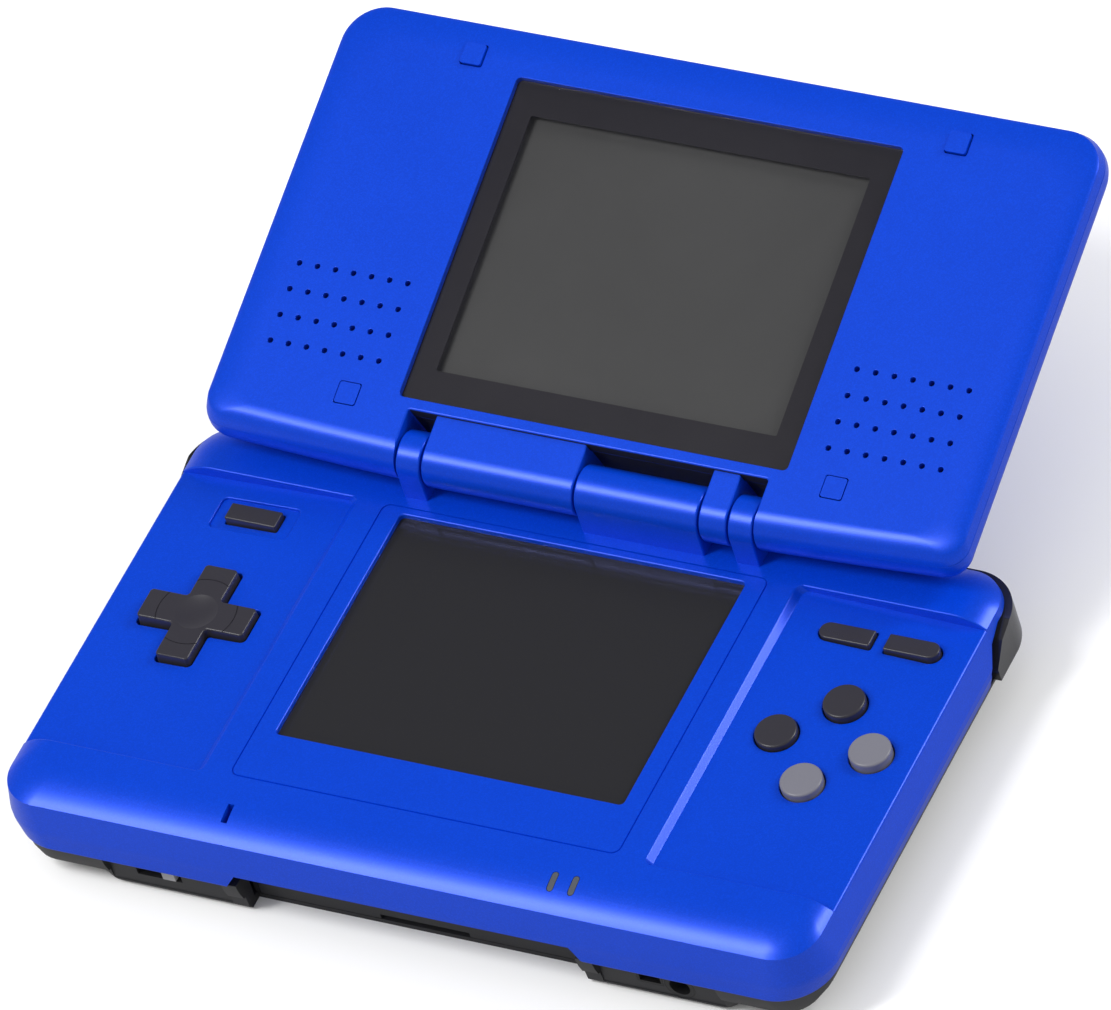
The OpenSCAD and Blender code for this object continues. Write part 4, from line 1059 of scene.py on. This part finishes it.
    def barrel(self, x0: float, x1: float) -> Solid:
        """Build a barrel and the web that joins it to the lid."""
        angle = np.linspace(np.pi / 2, 3 * np.pi / 2, 40)
        arc = BARREL_R * np.stack([np.cos(angle), np.sin(angle)], -1)
        y = self.notch_y - 0.05
        web = np.array([(7.3, -BARREL_R), (7.3, 2.1), (y, 2.1), (y, BARREL_R)])
        return round_ended(np.concatenate([arc, web]), x0, x1, 0.3)

    def gap_shade_faces(self, mesh: Mesh) -> np.ndarray:
        """Pick the faces of the hinge gap's far wall by their middles and normals, for painted
        shade.
        """
        middle, normal = np.empty((2, len(mesh.polygons) * 3))
        mesh.polygons.foreach_get("center", middle)
        mesh.polygons.foreach_get("normal", normal)
        x, y, _ = middle.reshape(-1, 3).T
        return (np.abs(x) < self.notch_x) & (np.abs(y - self.notch_y) < 0.3) & (
            normal.reshape(-1, 3)[:, 1] < -0.9)

    def build(self) -> None:
        """Build both halves."""
        inner = carved("lid_face", self.face_form(), [], self.face_cuts())
        hollows = [prism(oblong(*plan), low, high) for *plan, low, high in self.hollows]
        outer = carved("lid_back", self.back_form(), [], [self.notch(), *hollows])
        barrels = mesh_of("lid_barrels", [self.barrel(*row) for row in self.barrels])
        # The hinge gap's far wall is painted black in both halves: painted shade.
        add_piece("lid_inner_half", inner, BLUE, "lid", ("lid_inner_bezel",),
                  LID_PLACE, self.gap_shade_faces(inner))
        add_piece("lid_outer_half", outer, BLUE, "lid", ("lid_outer_shell",),
                  LID_PLACE, self.gap_shade_faces(outer))
        add_piece("lid_hinge_barrels", barrels, BLUE, "lid", (), LID_PLACE)


@dataclass
class Controls:
    """The pad, the round keys and the small keys, in mm."""

    shell: BaseShell = field(default_factory=BaseShell)
    pad_top: float = 18.8
    pad_foot: Pair = (3.15, 10.2)
    pad_upper: Pair = (2.95, 10.0)
    pad_corners: Pair = (0.5, 0.7)
    pad_edge: float = 0.3
    dish: Pair = (3.6, 0.6)
    pad_groove: float = 6.8
    key_top: float = 18.6
    key_r: float = 3.5
    small_top: float = 18.2
    flange: float = 0.6

    def foot(self, node: str) -> Pair:
        """Give the height of a packed key's lowest point and half its width, in mm."""
        low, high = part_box(node)
        return low[2] / MM, (high[0] - low[0]) / 2 / MM

    def pad(self) -> None:
        """Build the pad.

        Its walls lean in from the foot to the rounded upper edge. The bowl in the middle has
        the depth d * (1 - (r / R)^2) at the distance r, and a fine ring is cut across the
        four arms.
        """
        low, _ = self.foot("dpad")
        turns = quarter(7)
        edge, corners, (half, arm) = self.pad_edge, self.pad_corners, self.pad_upper
        outlines = [self.shell.cross(*self.pad_foot, *corners)]
        for inset in edge * (1 - np.cos(turns)):
            outlines.append(self.shell.cross(half - inset, arm - inset, *corners))
        heights = [low + self.flange] + [self.pad_top - edge * (1 - math.sin(a)) for a in turns]
        radius, depth = self.dish
        r = radius * np.linspace(0.001, 1, 26)
        bowl = [circle(0, 0, k, 64) for k in r] + [circle(0, 0, radius, 64)]
        z = self.pad_top + OVER - depth * (1 - (r / radius) ** 2)
        mesh = carved(
            "pad", skinned(stacked(outlines, heights)), [],
            [skinned(stacked(bowl, [*z, self.pad_top + 2])),
             groove(circle(0, 0, self.pad_groove, 120), 0.14, 0.16, self.pad_top)],
        )
        plate = prism(self.shell.cross(4.2, 11.2, 0.9, 0.4), low, low + self.flange)
        whole = joined("pad_cross", [mesh, mesh_of("pad_flange", [plate])])
        whole.transform(Matrix.Translation((*self.shell.pad_at, 0)))
        add_piece("pad_cross", whole, DARK_KEY, "pad", ("dpad",))

    def round_key(self, side: str, x: float, y: float, finish: Finish, slot: str) -> None:
        """Build a round key: a rounded upper edge and a top raised by h * (1 - (r / R)^2)."""
        node = f"action_button_{side}"
        low, half = self.foot(node)
        r, edge, rise = self.key_r, 0.4, 0.06
        rings = rim_body(circle(x, y, r), low + self.flange / 2, self.key_top - rise, edge)
        inner = np.linspace(r - edge, 0.05, 8)[1:]
        lift = rise * (1 - (inner / (r - edge)) ** 2)
        top = stacked([circle(x, y, k) for k in inner], list(self.key_top - rise + lift))
        mesh = mesh_of("key", [skinned(np.concatenate([rings, top])),
                               prism(circle(x, y, half), low, low + self.flange)])
        add_piece(f"round_key_{side}", mesh, finish, node, (node,))

    def small_key(self, name: str, x0: float, x1: float, ends: Ends) -> None:
        """Build a small key with a rounded upper edge."""
        node = f"{name}_button"
        low, half = self.foot(node)
        outline = self.shell.small_outline(x0, x1, 0.0, ends)
        mesh = mesh_of("small_key", [
            skinned(rim_body(outline, low + self.flange / 2, self.small_top, 0.24)),
            prism(grown(outline, half - (x1 - x0) / 2), low, low + self.flange),
        ])
        add_piece(f"{name}_key", mesh, DARK_KEY, node, (node,))

    def build(self) -> None:
        """Build every control on the deck."""
        self.pad()
        dark, grey = (DARK_KEY, "key_dark"), (GREY_KEY, "key_grey")
        sides = (("rear", dark), ("right", grey), ("front", grey), ("left", dark))
        for (side, look), at in zip(sides, self.shell.round_keys()):
            self.round_key(side, *at, *look)
        for name, key in SMALL_KEYS.items():
            self.small_key(name, *key)


REPLACED = (
    "base_top_shell", "lid_inner_bezel", "lid_outer_shell", "dpad", "action_button_rear",
    "action_button_right", "action_button_front", "action_button_left", "select_button",
    "start_button", "power_button",
)


def dress_carried_over() -> None:
    """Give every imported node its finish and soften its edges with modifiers."""
    for finish, names in CARRIED_OVER.items():
        for name in names:
            piece = frame["nodes"][name]
            piece.data.materials.clear()
            piece.data.materials.append(finish.material())
            if name in REPLACED:
                continue
            for polygon in piece.data.polygons:
                polygon.use_smooth = True
            piece.modifiers.new("weld", "WELD").merge_threshold = WELD_MM * MM
            split = piece.modifiers.new("edges", "EDGE_SPLIT")
            split.split_angle = EDGE_ANGLE
            split.use_edge_sharp = False
            piece.modifiers.new("weighted", "WEIGHTED_NORMAL").keep_sharp = True
    LOG.info("dressed %d packed nodes", sum(len(n) for n in CARRIED_OVER.values()))


@dataclass
class Studio:
    """The camera at the photograph's angle, the soft lamps and the pale floor, in metres."""

    target: Vector = field(default_factory=lambda: Vector((-0.00668, 0.03585, 0.0190)))
    distance: float = 2.47835
    azimuth: float = 39.32
    elevation: float = 45.79
    roll: float = -19.27
    focal_px: float = 15528.0
    image_px: int = 1111
    sensor_mm: float = 36.0
    ambient: float = 0.72
    wall: tuple[float, float, float] = (0.6, 0.5, 0.03)
    floor_half: float = 3.0
    floor_z: float = -0.00002
    lamps: tuple[tuple[str, Colour, Pair, float], ...] = (
        ("front_left", (-0.46, -0.42, 1.0), (0.20, 0.6), 9.0),
        ("right_rear", (0.80, 0.66, 0.70), (0.17, 0.46), 7.0),
    )

    def camera_axes(self) -> tuple[Vector, Vector, Vector]:
        """Work out the camera's right, up and backward directions.

        Returns:
            Three unit vectors in the row's frame.
        """
        az, el, ro = (math.radians(a) for a in (self.azimuth, self.elevation, self.roll))
        back = Vector((math.sin(az) * math.cos(el), -math.cos(az) * math.cos(el), math.sin(el)))
        right = Vector((math.cos(az), math.sin(az), 0.0))
        up = back.cross(right)
        return (
            right * math.cos(ro) + up * math.sin(ro),
            up * math.cos(ro) - right * math.sin(ro),
            back,
        )

    def add_camera(self) -> None:
        """Place the camera where the photograph was taken from."""
        data = bpy.data.cameras.new("photo_camera")
        data.sensor_width = self.sensor_mm
        data.lens = self.focal_px / self.image_px * self.sensor_mm
        data.clip_end = 20.0
        camera = new_object("photo_camera", data)
        right, up, back = self.camera_axes()
        turn = Matrix((right, up, back)).transposed().to_4x4()
        camera.matrix_world = Matrix.Translation(self.target + back * self.distance) @ turn
        bpy.context.scene.camera = camera

    def add_lamp(self, name: str, place: Colour, size: Pair, power: float) -> None:
        """Add a soft lamp that faces the object.

        Args:
            name: Name of the lamp.
            place: Where it stands, in metres.
            size: Its width and height in metres.
            power: Watts.
        """
        data = bpy.data.lights.new(name, "AREA")
        data.shape = "RECTANGLE"
        data.size, data.size_y = size
        data.energy = power
        lamp = new_object(name, data)
        lamp.location = place
        aim = self.target - Vector(place)
        lamp.rotation_euler = aim.to_track_quat("-Z", "Y").to_euler()

    def add_world(self) -> None:
        """Light the scene softly from all round, and show plain white to the camera.

        Glossy rays see a wall that fades with the height, from its second strength at the floor
        to its third where a ray rises by its first number.
        """
        world = bpy.data.worlds.new("studio")
        g = fresh_graph(world)
        rays = g.add("ShaderNodeLightPath").outputs
        seen = g.math(
            "MAXIMUM", rays["Is Camera Ray"],
            g.math("MAXIMUM", rays["Is Glossy Ray"], rays["Is Transmission Ray"]),
        )
        way = g.add("ShaderNodeTexCoord").outputs["Generated"]
        rise = g.add("ShaderNodeSeparateXYZ", {0: way}).outputs[2]
        rim, low, high = self.wall
        fading = g.add("ShaderNodeMapRange", {0: rise, 1: 0.0, 2: rim, 3: low, 4: high})
        strength = g.add(
            "ShaderNodeMix", {0: rays["Is Camera Ray"], 2: fading.outputs[0], 3: 1.0},
            data_type="FLOAT",
        )
        white = (1, 1, 1, 1)
        soft = g.add("ShaderNodeBackground", {0: white, 1: self.ambient}).outputs[0]
        wall = g.add("ShaderNodeBackground", {0: white, 1: strength.outputs[0]}).outputs[0]
        both = g.add("ShaderNodeMixShader", {0: seen, 1: soft, 2: wall})
        g.add("ShaderNodeOutputWorld", {0: both.outputs[0]})
        bpy.context.scene.world = world

    def add_floor(self) -> None:
        """Lay the pale floor just under the object."""
        half, z = self.floor_half, self.floor_z
        mesh = bpy.data.meshes.new("floor")
        corners = [(-half, -half, z), (half, -half, z), (half, half, z), (-half, half, z)]
        mesh.from_pydata(corners, [], [(0, 1, 2, 3)])
        made = bpy.data.materials.new("pale_floor")
        g = fresh_graph(made)
        camera = g.add("ShaderNodeLightPath").outputs["Is Camera Ray"]
        colour = g.mix(camera, (0.5, 0.5, 0.5), (0.95, 0.95, 0.95))
        shader = g.add("ShaderNodeBsdfDiffuse", {0: colour})
        g.add("ShaderNodeOutputMaterial", {0: shader.outputs[0]})
        mesh.materials.append(made)
        new_object("floor", mesh)

    def build(self) -> None:
        """Put up the whole studio."""
        self.add_camera()
        self.add_world()
        self.add_floor()
        for lamp in self.lamps:
            self.add_lamp(*lamp)
        bpy.context.scene.view_settings.view_transform = "Standard"


def main() -> None:
    """Build the studio and the object."""
    logging.basicConfig(level=logging.INFO, format="%(name)s: %(message)s")
    Studio().build()
    dress_carried_over()
    BaseShell().build()
    LidShells().build()
    Controls().build()


if __name__ == "__main__":
    main()
